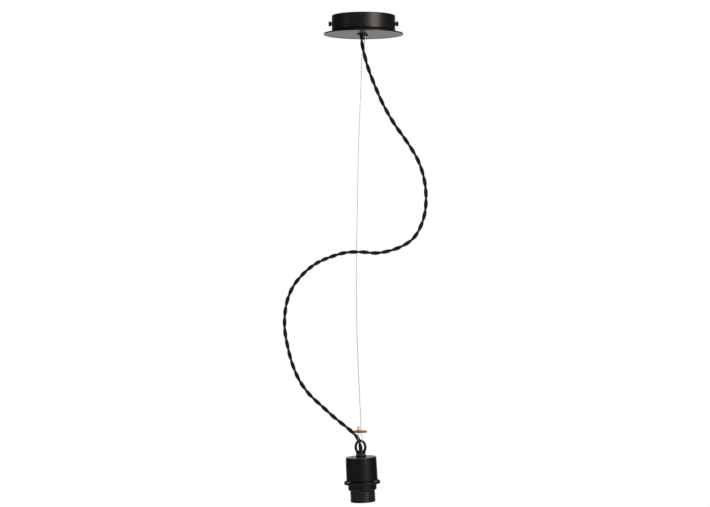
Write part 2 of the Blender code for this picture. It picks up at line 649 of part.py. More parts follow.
def wire_lock(brass, steel):
    """The disc, the screw that pinches the wire in it and the ferrule on the wire's end."""
    lock = empty("wire_lock", LOCK_PLACE)
    radius = LOCK_DIAMETER / 2
    corners = [
        (0, -LOCK_THICKNESS), (radius, -LOCK_THICKNESS, LOCK_EDGE, 2), (radius, 0, LOCK_EDGE, 2), (0, 0),
    ]
    disc = place("wire_lock_disc", lathe(corners, HOLDER_SIDES), brass, lock)
    for side, name in ((-1, "return"), (1, "main")):
        hole = cylinder(WIRE_BORE, -LOCK_THICKNESS - REACH, REACH, TINY_SIDES)
        cut(disc, f"{name}_wire_hole", hole, (side * LOCK_HOLE_SPACING / 2, 0, 0))
    seat = radius + GAP
    turn = (0, math.pi / 2, LOCK_SCREW_ANGLE)
    spot = (seat * math.cos(LOCK_SCREW_ANGLE), seat * math.sin(LOCK_SCREW_ANGLE), -LOCK_THICKNESS / 2)
    length = seat - LOCK_SCREW_TIP
    hole = cylinder(LOCK_SCREW_DIAMETER + 2 * GAP, -length, REACH, TINY_SIDES)
    cut(disc, "lock_screw_hole", hole, spot, turn)
    screw("lock_screw", LOCK_SCREW_HEAD, LOCK_SCREW_DIAMETER, length - GAP, steel, lock, spot, turn)
    outer, inner, top = END_FERRULE_DIAMETER / 2, WIRE_BORE / 2, GAP + END_FERRULE_LENGTH
    corners = [
        (0, GAP + END_FERRULE_DEPTH), (inner, GAP + END_FERRULE_DEPTH), (inner, GAP), (outer, GAP),
        (outer, top, outer / 2), (0, top),
    ]
    ferrule = lathe(corners, TINY_SIDES)
    place("wire_end_ferrule", ferrule, steel, lock, (-LOCK_HOLE_SPACING / 2, 0, 0))


def loop_ring():
    """The open ring of the loop as one bevelled Bezier curve, drawn in the XZ plane."""
    belly_x = (LOOP_WIDTH - LOOP_BAR) / 2
    neck_x = (LOOP_NECK_WIDTH - LOOP_BAR * LOOP_NECK_SWELL) / 2
    crown_z = LOOP_BAR / 2
    foot_z = LOOP_FOOT_BOTTOM + LOOP_FOOT_HEIGHT
    down = (0, -1)
    # Each knot: its place, the way the curve runs there, the reach of its two handles and its thickness.
    half = (
        ((0, crown_z), (1, 0), CROWN_RUN, CROWN_RUN, 1.0),
        ((belly_x, -LOOP_BELLY_DROP), down, *BELLY_RUNS, 1.0),
        ((neck_x, -LOOP_NECK_DROP), down, *NECK_RUNS, LOOP_NECK_SWELL),
        ((neck_x, foot_z), down, HEEL_RUN, HEEL_RUN, LOOP_HEEL_SWELL),
    )
    mirrored = []
    for (x, z), _, before, after, swell in half[:0:-1]:
        mirrored.append(((-x, z), (0, 1), after, before, swell))
    curve = bpy.data.curves.new("loop_ring", "CURVE")
    curve.dimensions = "3D"
    curve.bevel_depth = LOOP_BAR / 2
    curve.bevel_resolution = 3
    curve.resolution_u = 5
    curve.use_fill_caps = True
    spline = curve.splines.new("BEZIER")
    knots = mirrored + list(half)
    spline.bezier_points.add(len(knots) - 1)
    for knot, ((x, z), way, before, after, swell) in zip(spline.bezier_points, knots):
        along = Vector((way[0], 0, way[1]))
        knot.handle_left_type = "FREE"
        knot.handle_right_type = "FREE"
        knot.co = (x, 0, z)
        knot.handle_left = knot.co - along * before
        knot.handle_right = knot.co + along * after
        knot.radius = swell
    guide = bpy.data.objects.new("loop_ring", curve)
    bpy.context.scene.collection.objects.link(guide)
    bpy.context.view_layer.update()
    drawn = bpy.data.meshes.new_from_object(guide.evaluated_get(bpy.context.evaluated_depsgraph_get()))
    bpy.data.objects.remove(guide)
    shape = bmesh.new()
    shape.from_mesh(drawn)
    bmesh.ops.remove_doubles(shape, verts=shape.verts, dist=1e-6)
    bmesh.ops.recalc_face_normals(shape, faces=shape.faces)
    return shape


def lamp_loop(holder, iron, steel):
    """The cast loop: a hollow foot turned round the cord's way, with the ring grown out of its sides."""
    foot, boss, stem = LOOP_FOOT_DIAMETER / 2, LOOP_BOSS_DIAMETER / 2, LOOP_STEM_DIAMETER / 2
    foot_top = LOOP_FOOT_BOTTOM + LOOP_FOOT_HEIGHT
    waist = foot_top + LOOP_WAIST_RISE
    lower_edge, upper_edge = LOOP_FOOT_EDGES
    corners = [
        (0, LOOP_STEM_BOTTOM), (stem, LOOP_STEM_BOTTOM), (stem, LOOP_FOOT_BOTTOM),
        (foot, LOOP_FOOT_BOTTOM, lower_edge), (foot, foot_top, upper_edge, 2),
        (boss, waist, LOOP_WAIST_FILLET, 2), (boss, LOOP_BOSS_TOP, LOOP_BOSS_EDGE), (0, LOOP_BOSS_TOP),
    ]
    loop = place("lamp_loop", lathe(corners, LOOP_SIDES), iron, holder)
    ring = place("loop_ring_tool", loop_ring(), iron, holder)
    combine(loop, ring, "UNION")
    bore, mouth = LOOP_BORE / 2, LOOP_BORE / 2 + BORE_FLARE
    low, flare, high = LOOP_STEM_BOTTOM - REACH, LOOP_BOSS_TOP - BORE_FLARE_DEPTH, LOOP_BOSS_TOP + REACH
    corners = [(0, low), (bore, low), (bore, flare), (mouth, LOOP_BOSS_TOP), (mouth, high), (0, high)]
    cut(loop, "loop_bore", lathe(corners, LOOP_SIDES))
    seat = (0, 0, LOOP_NUT_TOP - LOOP_NUT_HEIGHT)
    nut("loop_nut", LOOP_NUT_ACROSS, LOOP_NUT_HEIGHT, LOOP_STEM_DIAMETER + 2 * GAP, steel, holder, seat)


def cord_stop(holder, nylon, steel):
    bottom = CORD_STOP_TOP - CORD_STOP_HEIGHT
    stop = tube("cord_stop", CORD_STOP_DIAMETER, CORD_BORE, bottom, CORD_STOP_TOP, nylon, holder)
    seat = CORD_STOP_DIAMETER / 2 + GAP
    spot = (0, -seat, (bottom + CORD_STOP_TOP) / 2)
    length = seat - CORD_BORE / 2
    forward = (math.pi / 2, 0, 0)
    hole = cylinder(CORD_STOP_SCREW + 2 * GAP, -length - REACH, REACH, TINY_SIDES)
    cut(stop, "cord_stop_screw_hole", hole, spot, forward)
    screw("cord_stop_screw", CORD_STOP_HEAD, CORD_STOP_SCREW, length, steel, holder, spot, forward)


def holder_cap(holder, resin):
    """The cap, with a threaded band low inside and ribs above it that stop the carrier."""
    hole = LOOP_STEM_DIAMETER / 2 + GAP
    top, bottom = CAP_TOP_DIAMETER / 2, CAP_BOTTOM_DIAMETER / 2
    inside = top - CAP_WALL
    ceiling = CAP_TOP - CAP_WALL
    outer_edge, inner_edge = CAP_RIM_EDGES
    corners = [
        (hole, CAP_TOP), (top, CAP_TOP, CAP_EDGE, 3), (bottom, CAP_BOTTOM, outer_edge),
        (BAND_RADIUS, CAP_BOTTOM, inner_edge), (BAND_RADIUS, BAND_TOP), (inside, BAND_TOP),
        (inside, ceiling, CAP_INNER_FILLET), (hole, ceiling),
    ]
    cap = place("holder_cap", lathe(corners, HOLDER_SIDES), resin, holder)
    depth = CAP_RIB_DEPTH + CAP_WALL / 2
    size = (depth, CAP_RIB_THICKNESS, ceiling + CAP_WALL / 2 - BAND_TOP)
    middle = (inside + CAP_WALL / 2 - depth / 2, 0, BAND_TOP + size[2] / 2)
    ribs = bmesh.new()
    for index in range(CAP_RIBS):
        turn = Matrix.Rotation(math.tau * (index + 0.5) / CAP_RIBS, 4, "Z")
        stretch = Matrix.Diagonal((*size, 1))
        bmesh.ops.create_cube(ribs, size=1.0, matrix=turn @ Matrix.Translation(middle) @ stretch)
    combine(cap, place("cap_rib_tool", ribs, resin, holder), "UNION")


def contact_carrier(holder, ceramic):
    flange, boss = THREAD_RADIUS, SHELL_BORE_RADIUS - GAP
    corners = [
        (0, BOSS_BOTTOM), (boss, BOSS_BOTTOM, CARRIER_EDGE), (boss, CARRIER_UNDER), (flange, CARRIER_UNDER),
        (flange, CARRIER_TOP, CARRIER_EDGE), (0, CARRIER_TOP),
    ]
    carrier = place("contact_carrier", lathe(corners, HOLDER_SIDES), ceramic, holder)
    for side, name in ((-1, "live"), (1, "neutral")):
        hole = cylinder(RIVET_DIAMETER + 2 * GAP, BOSS_BOTTOM - REACH, CARRIER_TOP + REACH, TINY_SIDES)
        cut(carrier, f"{name}_rivet_hole", hole, (side * RIVET_X, 0, 0))


def terminals(holder, brass, steel):
    """A brass block on the carrier for each pole, with its screw and the rivet that holds its contact."""
    width, depth, height = TERMINAL_SIZE
    bottom = CARRIER_TOP + GAP
    bore_z = bottom + TERMINAL_BORE_RISE
    strip_bottom = BOSS_BOTTOM - GAP - STRIP_THICKNESS
    for side, name in ((-1, "live"), (1, "neutral")):
        centre = (side * (TERMINAL_INNER_X + width / 2), 0, bottom + height / 2)
        block = place(f"{name}_terminal", box(TERMINAL_SIZE, centre), brass, holder)
        bore = cylinder(TERMINAL_BORE, -width, width, TINY_SIDES)
        cut(block, f"{name}_core_bore", bore, (centre[0], 0, bore_z), (0, math.pi / 2, 0))
        screw_x = side * TERMINAL_SCREW_X
        screw_hole = cylinder(TERMINAL_SCREW_DIAMETER + 2 * GAP, bore_z, bottom + height + REACH, TINY_SIDES)
        cut(block, f"{name}_terminal_screw_hole", screw_hole, (screw_x, 0, 0))
        rivet_top = bottom + RIVET_ENGAGEMENT
        rivet_hole = cylinder(RIVET_DIAMETER + 2 * GAP, bottom - REACH, rivet_top + GAP, TINY_SIDES)
        cut(block, f"{name}_rivet_socket", rivet_hole, (side * RIVET_X, 0, 0))
        seat = (screw_x, 0, bottom + height + GAP)
        shank = seat[2] - bore_z - CORE_DIAMETER / 2 - GAP
        head, diameter = TERMINAL_SCREW_HEAD, TERMINAL_SCREW_DIAMETER
        screw(f"{name}_terminal_screw", head, diameter, shank, steel, holder, seat)
        seat = (side * RIVET_X, 0, strip_bottom - GAP)
        shank = rivet_top - seat[2]
        screw(f"{name}_rivet", RIVET_HEAD, RIVET_DIAMETER, shank, brass, holder, seat, (math.pi, 0, 0))


def strip(name, side_view, finish, holder):
    """A bent metal strip: its side view, as a middle line in XZ, thickened and widened along Y."""
    line = [Vector(point) for point in side_view]
    ways = [(after - before).normalized() for before, after in zip(line, line[1:])]
    ways = [ways[0]] + [(first + second).normalized() for first, second in zip(ways, ways[1:])] + [ways[-1]]
    half = STRIP_THICKNESS / 2
    upper = [point + Vector((-way[1], way[0])) * half for point, way in zip(line, ways)]
    lower = [point - Vector((-way[1], way[0])) * half for point, way in zip(line, ways)]
    shape = prism(upper + lower[::-1], -STRIP_WIDTH / 2, STRIP_WIDTH / 2)
    bmesh.ops.rotate(shape, verts=shape.verts, matrix=Matrix.Rotation(math.pi / 2, 3, "X"))
    return place(name, shape, finish, holder)


def contacts(holder, bronze):
    flat = BOSS_BOTTOM - GAP - STRIP_THICKNESS / 2
    wall = SHELL_BORE_RADIUS - GAP - STRIP_THICKNESS / 2
    touching = flat - LEAF_DROP
    leaf_view = [(LEAF_ENDS[0], flat), (LEAF_BEND, flat)]
    leaf_view += [(x, touching) for x in LEAF_CONTACT]
    leaf_view.append((LEAF_ENDS[1], touching + LEAF_LIFT))
    leaf = strip("centre_contact", leaf_view, bronze, holder)
    tongue_view = [(SIDE_TONGUE_START, flat), (wall, flat), (wall, flat - SIDE_TONGUE)]
    tongue = strip("side_contact", tongue_view, bronze, holder)
    for side, piece in ((-1, leaf), (1, tongue)):
        hole = cylinder(RIVET_DIAMETER + 2 * GAP, flat - REACH / 2, flat + REACH / 2, TINY_SIDES)
        cut(piece, f"{piece.name}_hole", hole, (side * RIVET_X, 0, 0))


def screw_shell(holder, brass):
    top = CARRIER_UNDER - GAP
    bottom = LEDGE_TOP + GAP
    bore = SHELL_DIAMETER - 2 * SHELL_SHEET
    tube("screw_shell", SHELL_DIAMETER, bore, bottom, top, brass, holder, sides=HOLDER_SIDES)


def threaded_skirt(holder, resin):
    """The skirt, with a ledge low inside that carries the screw shell."""
    ledge = SHELL_BORE_RADIUS + SHELL_SHEET / 4
    corners = [
        (SKIRT_BORE_RADIUS, SKIRT_TOP), (SKIRT_BORE_RADIUS, LEDGE_TOP), (ledge, LEDGE_TOP),
        (ledge, LEDGE_BOTTOM), (SKIRT_BORE_RADIUS, LEDGE_BOTTOM),
        (SKIRT_BORE_RADIUS, SKIRT_BOTTOM, SKIRT_INNER_EDGE),
        (THREAD_RADIUS, SKIRT_BOTTOM, SKIRT_EDGE, 3), (THREAD_RADIUS, SKIRT_TOP),
    ]
    place("threaded_skirt", lathe(corners, HOLDER_SIDES), resin, holder)


def shade_ring(holder, resin):
    radius, lip = RING_DIAMETER / 2, RING_DIAMETER / 2 - RING_LIP_WIDTH
    collar, cone = RING_COLLAR_DIAMETER / 2, RING_CONE_DIAMETER / 2
    flange_bottom = RING_TOP - RING_THICKNESS
    collar_bottom = flange_bottom - RING_COLLAR_HEIGHT
    cone_bottom = collar_bottom - RING_CONE_HEIGHT
    upper_edge, lower_edge = RING_EDGES
    corners = [
        (BAND_RADIUS, RING_TOP), (lip, RING_TOP), (lip, RING_TOP + RING_LIP),
        (radius, RING_TOP + RING_LIP, upper_edge), (radius, flange_bottom, lower_edge, 2),
        (collar, flange_bottom), (collar, collar_bottom), (cone, cone_bottom), (BAND_RADIUS, cone_bottom),
    ]
    place("shade_ring", lathe(corners, HOLDER_SIDES), resin, holder)


def build():
    clear_scene()
    paint = material("satin_black_paint", (0.012, 0.011, 0.010), 0.38)
    resin = material("black_resin", (0.012, 0.012, 0.012), 0.42)
    iron = material("black_cast_loop", (0.012, 0.012, 0.011), 0.40)
    nylon = material("black_nylon", (0.015, 0.015, 0.015), 0.50)
    white_nylon = material("white_nylon", (0.75, 0.75, 0.72), 0.50)
    fibre = material("black_fibre", (0.02, 0.02, 0.02), 0.80)
    ceramic = material("white_ceramic", (0.80, 0.79, 0.75), 0.30)
    brass = material("brass", (0.62, 0.38, 0.10), 0.28, 1.0)
    plated = material("plated_brass", (0.62, 0.58, 0.52), 0.28, 1.0)
    bronze = material("spring_bronze", (0.58, 0.36, 0.16), 0.35, 1.0)
    steel = material("bright_steel", (0.55, 0.55, 0.55), 0.30, 1.0)
    braid = material("black_braid", (0.016, 0.014, 0.013), 0.85)
    brown = material("brown_core", (0.16, 0.06, 0.02), 0.50)
    blue = material("blue_core", (0.03, 0.12, 0.42), 0.50)

    rose = empty("ceiling_rose")
    ceiling_cup(rose, paint)
    cover_plate(rose, paint)
    side_fixings(rose, paint, steel)
    cord_bush(rose, nylon)
    wire_nipple(rose, plated, brass, fibre, steel)
    terminal_block(rose, white_nylon, brass, steel)
    earth_terminal(rose, brass, steel)
    flexible("rose_live_core", ROSE_LIVE_ROUTE, CORE_DIAMETER, CORE_STEPS, brown, rose)
    flexible("rose_neutral_core", ROSE_NEUTRAL_ROUTE, CORE_DIAMETER, CORE_STEPS, blue, rose)

    hanging = empty("hanging_parts")
    flexible("twisted_cord", CORD_ROUTE, CORD_DIAMETER, CORD_STEPS, braid, hanging)
    flexible("suspension_wire", WIRE_ROUTE, WIRE_DIAMETER, WIRE_STEPS, steel, hanging)
    wire_lock(brass, steel)

    holder = empty("lampholder", HANG_PLACE, (0, HANG_TILT, 0))
    lamp_loop(holder, iron, steel)
    cord_stop(holder, white_nylon, steel)
    holder_cap(holder, resin)
    contact_carrier(holder, ceramic)
    terminals(holder, brass, steel)
    contacts(holder, bronze)
    screw_shell(holder, brass)
    threaded_skirt(holder, resin)
    shade_ring(holder, resin)
    neutral_route = [(-x, y, z) for x, y, z in HOLDER_LIVE_ROUTE]
    flexible("holder_live_core", HOLDER_LIVE_ROUTE, CORE_DIAMETER, CORE_STEPS, brown, holder)
    flexible("holder_neutral_core", neutral_route, CORE_DIAMETER, CORE_STEPS, blue, holder)


build()
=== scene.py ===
"""Looks of the pendant light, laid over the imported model. Metres, in the model's own frame."""

import json
import math

import bmesh
import bpy
from mathutils import Matrix, Vector
from mathutils.geometry import interpolate_bezier


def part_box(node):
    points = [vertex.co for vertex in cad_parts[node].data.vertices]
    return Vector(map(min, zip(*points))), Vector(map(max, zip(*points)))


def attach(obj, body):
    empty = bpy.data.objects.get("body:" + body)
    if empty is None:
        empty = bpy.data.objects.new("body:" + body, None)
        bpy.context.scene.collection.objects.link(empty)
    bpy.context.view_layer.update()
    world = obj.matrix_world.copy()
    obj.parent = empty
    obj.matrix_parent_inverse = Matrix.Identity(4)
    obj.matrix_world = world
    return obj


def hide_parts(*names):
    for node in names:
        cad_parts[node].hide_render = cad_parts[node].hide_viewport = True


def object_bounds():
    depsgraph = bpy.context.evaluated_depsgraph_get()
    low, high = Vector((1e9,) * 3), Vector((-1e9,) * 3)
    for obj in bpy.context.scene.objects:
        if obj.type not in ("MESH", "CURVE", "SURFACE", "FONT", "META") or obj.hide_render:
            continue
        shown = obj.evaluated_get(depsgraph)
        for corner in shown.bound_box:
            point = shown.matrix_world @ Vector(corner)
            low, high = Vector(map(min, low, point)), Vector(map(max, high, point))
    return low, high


# The photograph: its size, the place of the origin in it, and its scale at the light
PHOTO_WIDTH = 710
PHOTO_HEIGHT = 507
ORIGIN_PIXEL = (363.5, 15.6)
METRES_PER_PIXEL = 0.001585
LENS = 93.8
SENSOR = 36.0
CLIP_START = 0.05
CLIP_END = 50

# Lights: place, what they face, width and height, watts and colour
LIGHTS = {
    "window": ((1.66, -2.02, 0.38), (0, 0, -0.2), (1.5, 1.3), 40, (1.0, 0.93, 0.87)),
    "left_fill": ((-2.4, -1.2, -0.1), (0, 0, -0.4), (0.8, 1.6), 2, (1, 1, 1)),
    "top_fill": ((0.2, 0.4, 2.2), (0, 0, -0.3), (1.6, 1.6), 14, (1, 1, 1)),
}

# Backdrop
FLOOR_DROP = 0.50
FLOOR_SIZE = 3.2
FLOOR_SQUARES = 8
ROOM_LIGHT = 0.55
STUDIO_HALF_WIDTH = 2.8
STUDIO_FRONT = -3.4
STUDIO_BACK = 5.4
STUDIO_MIDDLE = -0.4
STUDIO_HEIGHT = 4.0

# Cord
CORD_DIAMETER = 0.0068
CORD_STEP = 0.0012
TWIST_PITCH_TOP = 0.0372
TWIST_PITCH_END = 0.0352
TWIST_TIGHTER_BY = 0.009
TWIST_TIGHT_AT = 0.57
TWIST_TIGHT_SPREAD = 0.04
TWIST_START = math.radians(-27)
STRAND_NESTING = 0.85
STRAND_TIGHTNESS = 0.985
STRAND_SIDES = 14

# Braid of the cord's fabric
BRAID_CARRIERS = 16
BRAID_PICK = 0.0021
BRAID_DEPTH = 0.00018
BRAID_SHEEN = 0.10
YARN_GRAIN = 0.0009
YARN_SHARE = 0.8

# Wire
WIRE_DIAMETER = 0.0010
WIRE_STEP = 0.0009
WIRE_LAY = 0.0075
WIRE_STRANDS = 6
WIRE_STRAND_RISE = 0.10
WIRE_SIDES = 24

# The lampholder's own frame
HANG_PLACE = (-0.0051, 0.0, -0.6761)
HANG_TILT = math.radians(-2.7)
HOLDER = Matrix.Translation(HANG_PLACE) @ Matrix.Rotation(HANG_TILT, 4, "Y")

# Clearance between pieces, as in the solids, and how far a cutting tool reaches past a sheet
GAP = 0.0003
CUT_PAST = 0.002

# Rounding of edges that several pieces share
FINE_EDGE = 0.0002
SMALL_EDGE = 0.0003
MILD_EDGE = 0.0004
SOFT_EDGE = 0.0006

# Sheet metal of the rose, and the holes in it as (x, y, diameter)
SHEET = 0.0008
CUP_BEND = 0.0013
CUP_HOLES = ((-0.025, 0.0, 0.014), (0.024, 0.018, 0.0032), (0.022, -0.022, 0.0042))
SLOT_SPACING = 0.072
SLOT_LENGTH = 0.012
SLOT_WIDTH = 0.005
SIDE_HOLE_DIAMETER = 0.0042
SIDE_HOLE_Z = -0.013
PLATE_THICKNESS = 0.0012
PLATE_RIM_DROP = 0.0009
PLATE_RIM_RUN = 0.012
PLATE_RIM_EASE = 1.4
PLATE_RIM_STEPS = 10
CORD_HOLE = (-0.0032, -0.0070, 0.0104)
WIRE_HOLE = (0.0020, 0.0070, 0.0056)

# Specular level of the paint on the cup and its ceiling side, and on the plate and its collar; the collar's
# near-zero gloss is painted shade, which keeps it dark as if shaded by the cup's rim
CUP_GLOSS = 0.45
CEILING_SIDE_GLOSS = 0.02
PLATE_GLOSS = 0.26
COLLAR_SHADE_GLOSS = 0.02

# Bush and nipple that the cord and the wire leave by
CORD_BORE = 0.0076
BUSH_FLANGE = 0.0019
BUSH_MOUTH_EDGE = 0.0007
BUSH_RIM_EDGE = 0.0008
WIRE_BORE = 0.0016
NIPPLE_NECK_DIAMETER = 0.0055
NIPPLE_NECK = 0.005
NIPPLE_TIP_EDGE = 0.0016
NIPPLE_FLANGE = 0.002
NIPPLE_STEM_DIAMETER = 0.005

# Side screws: the neck below the head as a share of it, and the knurls on the head's rim
KNOB_NECK_SHARE = 0.72
KNOB_NECK = 0.0009
KNOB_SIDES = 120
KNURLS = 24
KNURL_DEPTH = 0.00018
KNURL_FROM_SHARE = 0.98

# Wire lock
LOCK_EDGE = 0.0010
LOCK_HOLES = (-0.00205, 0.00205)
LOCK_SCREW_HOLE = 0.0017
LOCK_SCREW_HOLE_START = 0.003
LOCK_SCREW_ANGLE = math.radians(-45)
LOCK_SCREW_DIAMETER = 0.0011
LOCK_HEAD_HEIGHT = 0.0014
LOCK_SLOT_WIDTH = 0.0005
LOCK_SLOT_DEPTH = 0.0006
FERRULE_BORE_DEPTH = 0.006
FERRULE_EDGE = 0.0005
CRIMP_PLACES = (0.25, 0.5, 0.75)
CRIMP_WIDTH = 0.0012
CRIMP_DEPTH = 0.00025

# Cast loop: its bar as (x, z) knots, and its hollow foot
LOOP_BAR = 0.0042
LOOP_WIDTH = 0.0194
LOOP_NECK_WIDTH = 0.0149
LOOP_BELLY_DROP = 0.0077
LOOP_NECK_DROP = 0.0178
LOOP_NECK_SWELL = 1.08
LOOP_HEEL_SWELL = 1.2
CROWN_RUN = 0.0046
BELLY_RUNS = (0.0052, 0.0044)
NECK_RUNS = (0.0030, 0.0008)
HEEL_RUN = 0.0008
LOOP_STEPS = 20
LOOP_FOOT_DIAMETER = 0.0163
LOOP_FOOT_HEIGHT = 0.0025
LOOP_FOOT_EDGES = (0.0006, 0.0012)
LOOP_WAIST_RISE = 0.0022
LOOP_WAIST_FILLET = 0.002
LOOP_BOSS_DIAMETER = 0.0106
LOOP_BOSS_TOP = -0.0128
LOOP_BOSS_EDGE = 0.0007
LOOP_BORE = 0.0082
BORE_FLARE = 0.0006
BORE_FLARE_DEPTH = 0.0012
LOOP_STEM_DIAMETER = 0.010
CASTING_GRID = 0.00022
CASTING_SOFTENING = 6

# Lampholder
CAP_TOP_DIAMETER = 0.0488
CAP_EDGE = 0.0020
CAP_MOUTH_EDGE = 0.0005
CAP_INNER_FILLET = 0.0018
CAP_HOLE = 0.0106
CAP_WALL = 0.0025
BAND_HEIGHT = 0.0138
RING_THICKNESS = 0.0020
RING_LIP = 0.0020
RING_LIP_WIDTH = 0.0009
RING_COLLAR_DIAMETER = 0.0452
RING_TAIL_DIAMETER = 0.0414
RING_TAIL = 0.0008
SKIRT_WALL = 0.0035
SKIRT_MOUTH = 0.0081
SKIRT_MOUTH_EDGES = (0.0012, 0.0016)
SHELL_LEDGE = 0.0017
SHELL_SHEET = 0.0004

# Threads: a roundness of 1 is a plain wave, and less has flatter crests and roots
SKIRT_PITCH = 0.0036
SKIRT_THREAD_DEPTH = 0.0004
SKIRT_THREAD_ROUNDNESS = 0.6
SKIRT_ROWS_FROM = 0.0022
SKIRT_THREAD_FROM = 0.0018
LAMP_PITCH = 0.00363
LAMP_THREAD_DEPTH = 0.00105
LAMP_THREAD_ROUNDNESS = 1.0
THREAD_STEP = 0.00024
SAME_RADIUS = 1e-6

# Smoothness of the pieces, and the most of a side that one fillet may take
WIDE_SIDES = 160
ROUND_SIDES = 112
SMALL_SIDES = 48
HOLE_SIDES = 24
FILLET_STEPS = 6
FILLET_SHARE = 0.49
ROUTE_STEPS = 24
SHARP_ANGLE = math.radians(35)

# How many grains of a finish its broad changes of tone span
BROAD_GRAINS = 14

# Route of the cord in millimetres, as in the solids
CORD_ROUTE = (
    (-3.2, -7.0, -23.0), (-3.2, -7.0, -36.0), (2.7, -7.0, -68.0),
    (19.5, -7.0, -115.5), (32.5, -7.0, -144.1), (49.0, -7.0, -172.6), (69.1, -7.0, -201.1),
    (86.1, -7.0, -229.7), (95.6, -7.0, -258.2), (98.8, -7.0, -286.7), (96.5, -7.0, -315.3),
    (90.3, -7.0, -334.3), (78.5, -7.0, -353.3), (60.2, -7.0, -365.8), (40.3, -7.0, -373.0),
    (20.6, -7.0, -376.3), (-3.2, -7.0, -374.7), (-26.9, -6.5, -375.5), (-50.7, -6.0, -382.0),
    (-74.5, -5.0, -392.6), (-97.8, -4.0, -411.8), (-111.4, -3.0, -429.4), (-119.8, -2.0, -448.4),
    (-124.4, -0.8, -472.0), (-124.9, 0.5, -496.0), (-120.3, 2.0, -524.5), (-112.7, 3.5, -553.0),
    (-100.0, 5.0, -581.5), (-86.1, 6.5, -600.6), (-66.2, 8.5, -619.6), (-45.4, 10.4, -638.6),
    (-28.5, 11.6, -652.3), (-17.9, 11.8, -661.3), (-10.6, 10.6, -668.8), (-7.2, 8.4, -674.8),
    (-5.6, 5.1, -680.4), (-4.7, 1.4, -685.6), (-4.4, 0.1, -690.4), (-4.21, 0.0, -695.0),
    (-3.29, 0.0, -714.5),
)

# Route of the wire in millimetres, as in the solids
WIRE_ROUTE = (
    (2.0, 7.0, -17.5), (2.0, 7.0, -28.0), (2.0, 7.0, -38.2), (0.6, 6.9, -47.5), (-2.0, 6.7, -58.0),
    (-3.0, 6.5, -70.0), (-3.5, 6.3, -92.0), (-4.6, 5.9, -130.0), (-7.0, 5.3, -180.0),
    (-8.6, 4.6, -241.5), (-9.6, 3.9, -305.0), (-11.1, 3.1, -374.7), (-11.3, 2.3, -440.0),
    (-10.3, 1.6, -501.5), (-8.2, 0.9, -558.6), (-5.9, 0.4, -609.3), (-4.0, 0.0, -648.0),
    (-4.0, 0.0, -661.0), (-2.8, -1.0, -665.5), (-1.9, -2.5, -670.0), (-2.5, -3.0, -674.2),
    (-3.8, -2.15, -676.5), (-5.1, 0.0, -677.4), (-6.4, 2.15, -676.6), (-7.4, 3.0, -674.3),
    (-8.2, 2.2, -670.0), (-8.4, 0.9, -666.0), (-8.1, 0.0, -661.5), (-8.1, 0.0, -652.4),
)

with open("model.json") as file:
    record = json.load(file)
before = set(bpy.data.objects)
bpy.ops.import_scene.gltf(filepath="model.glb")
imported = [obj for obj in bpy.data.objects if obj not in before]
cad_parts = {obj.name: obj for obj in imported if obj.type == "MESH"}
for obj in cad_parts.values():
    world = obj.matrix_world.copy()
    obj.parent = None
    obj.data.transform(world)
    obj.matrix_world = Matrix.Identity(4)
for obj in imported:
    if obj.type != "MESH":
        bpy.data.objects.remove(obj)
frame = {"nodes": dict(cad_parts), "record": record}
solid_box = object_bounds()


def shader(made):
    return made.node_tree.nodes["Principled BSDF"]


def new_material(name, colour, roughness, metallic=0.0, specular=0.5, tint=(1, 1, 1)):
    made = bpy.data.materials.new(name)
    made.use_nodes = True
    made.diffuse_color = (*colour, 1)
    values = {
        "Base Color": (*colour, 1),
        "Roughness": roughness,
        "Metallic": metallic,
        "Specular IOR Level": specular,
        "Specular Tint": (*tint, 1),
    }
    for socket, value in values.items():
        shader(made).inputs[socket].default_value = value
    return made


def math_node(tree, operation, *terms):
    """The result of one sum, each of whose terms is another node's output or a number."""
    node = tree.nodes.new("ShaderNodeMath")
    node.operation = operation
    for socket, term in zip(node.inputs, terms):
        if isinstance(term, (int, float)):
            socket.default_value = term
        else:
            tree.links.new(term, socket)
    return node.outputs[0]


def noise(made, grain, detail):
    """Noise whose grain is that many metres across, in the object's own coordinates."""
    tree = made.node_tree
    place = tree.nodes.new("ShaderNodeTexCoord")
    texture = tree.nodes.new("ShaderNodeTexNoise")
    texture.inputs["Scale"].default_value = 1 / grain
    texture.inputs["Detail"].default_value = detail
    tree.links.new(place.outputs["Object"], texture.inputs["Vector"])
    return texture.outputs[0]


def two_tones(made, driver, dark, light, low=0.3, high=0.7):
    """Base colour between two tones, led by a node's output."""
    tree = made.node_tree
    ramp = tree.nodes.new("ShaderNodeValToRGB")
    for stop, position, tone in zip(ramp.color_ramp.elements, (low, high), (dark, light)):
        stop.position = position
        stop.color = (*tone, 1)
    tree.links.new(driver, ramp.inputs[0])
    tree.links.new(ramp.outputs[0], shader(made).inputs["Base Color"])


def vary_roughness(made, driver, low, high):
    tree = made.node_tree
    scaled = tree.nodes.new("ShaderNodeMapRange")
    scaled.inputs["To Min"].default_value = low
    scaled.inputs["To Max"].default_value = high
    tree.links.new(driver, scaled.inputs["Value"])
    tree.links.new(scaled.outputs[0], shader(made).inputs["Roughness"])


def bump(made, driver, strength, depth):
    tree = made.node_tree
    node = tree.nodes.new("ShaderNodeBump")
    node.inputs["Strength"].default_value = strength
    node.inputs["Distance"].default_value = depth
    tree.links.new(driver, node.inputs["Height"])
    tree.links.new(node.outputs[0], shader(made).inputs["Normal"])


def mottled(name, dark, light, rough, grain, depth, metallic=0.0, specular=0.5, tint=(1, 1, 1)):
    """A finish with a fine surface, small changes of tone and of gloss; the tint colours flat angles."""
    made = new_material(name, light, sum(rough) / 2, metallic, specular, tint)
    broad = noise(made, grain * BROAD_GRAINS, detail=4.0)
    fine = noise(made, grain, detail=2.0)
    two_tones(made, broad, dark, light)
    vary_roughness(made, broad, *rough)
    bump(made, fine, strength=0.5, depth=depth)
    return made


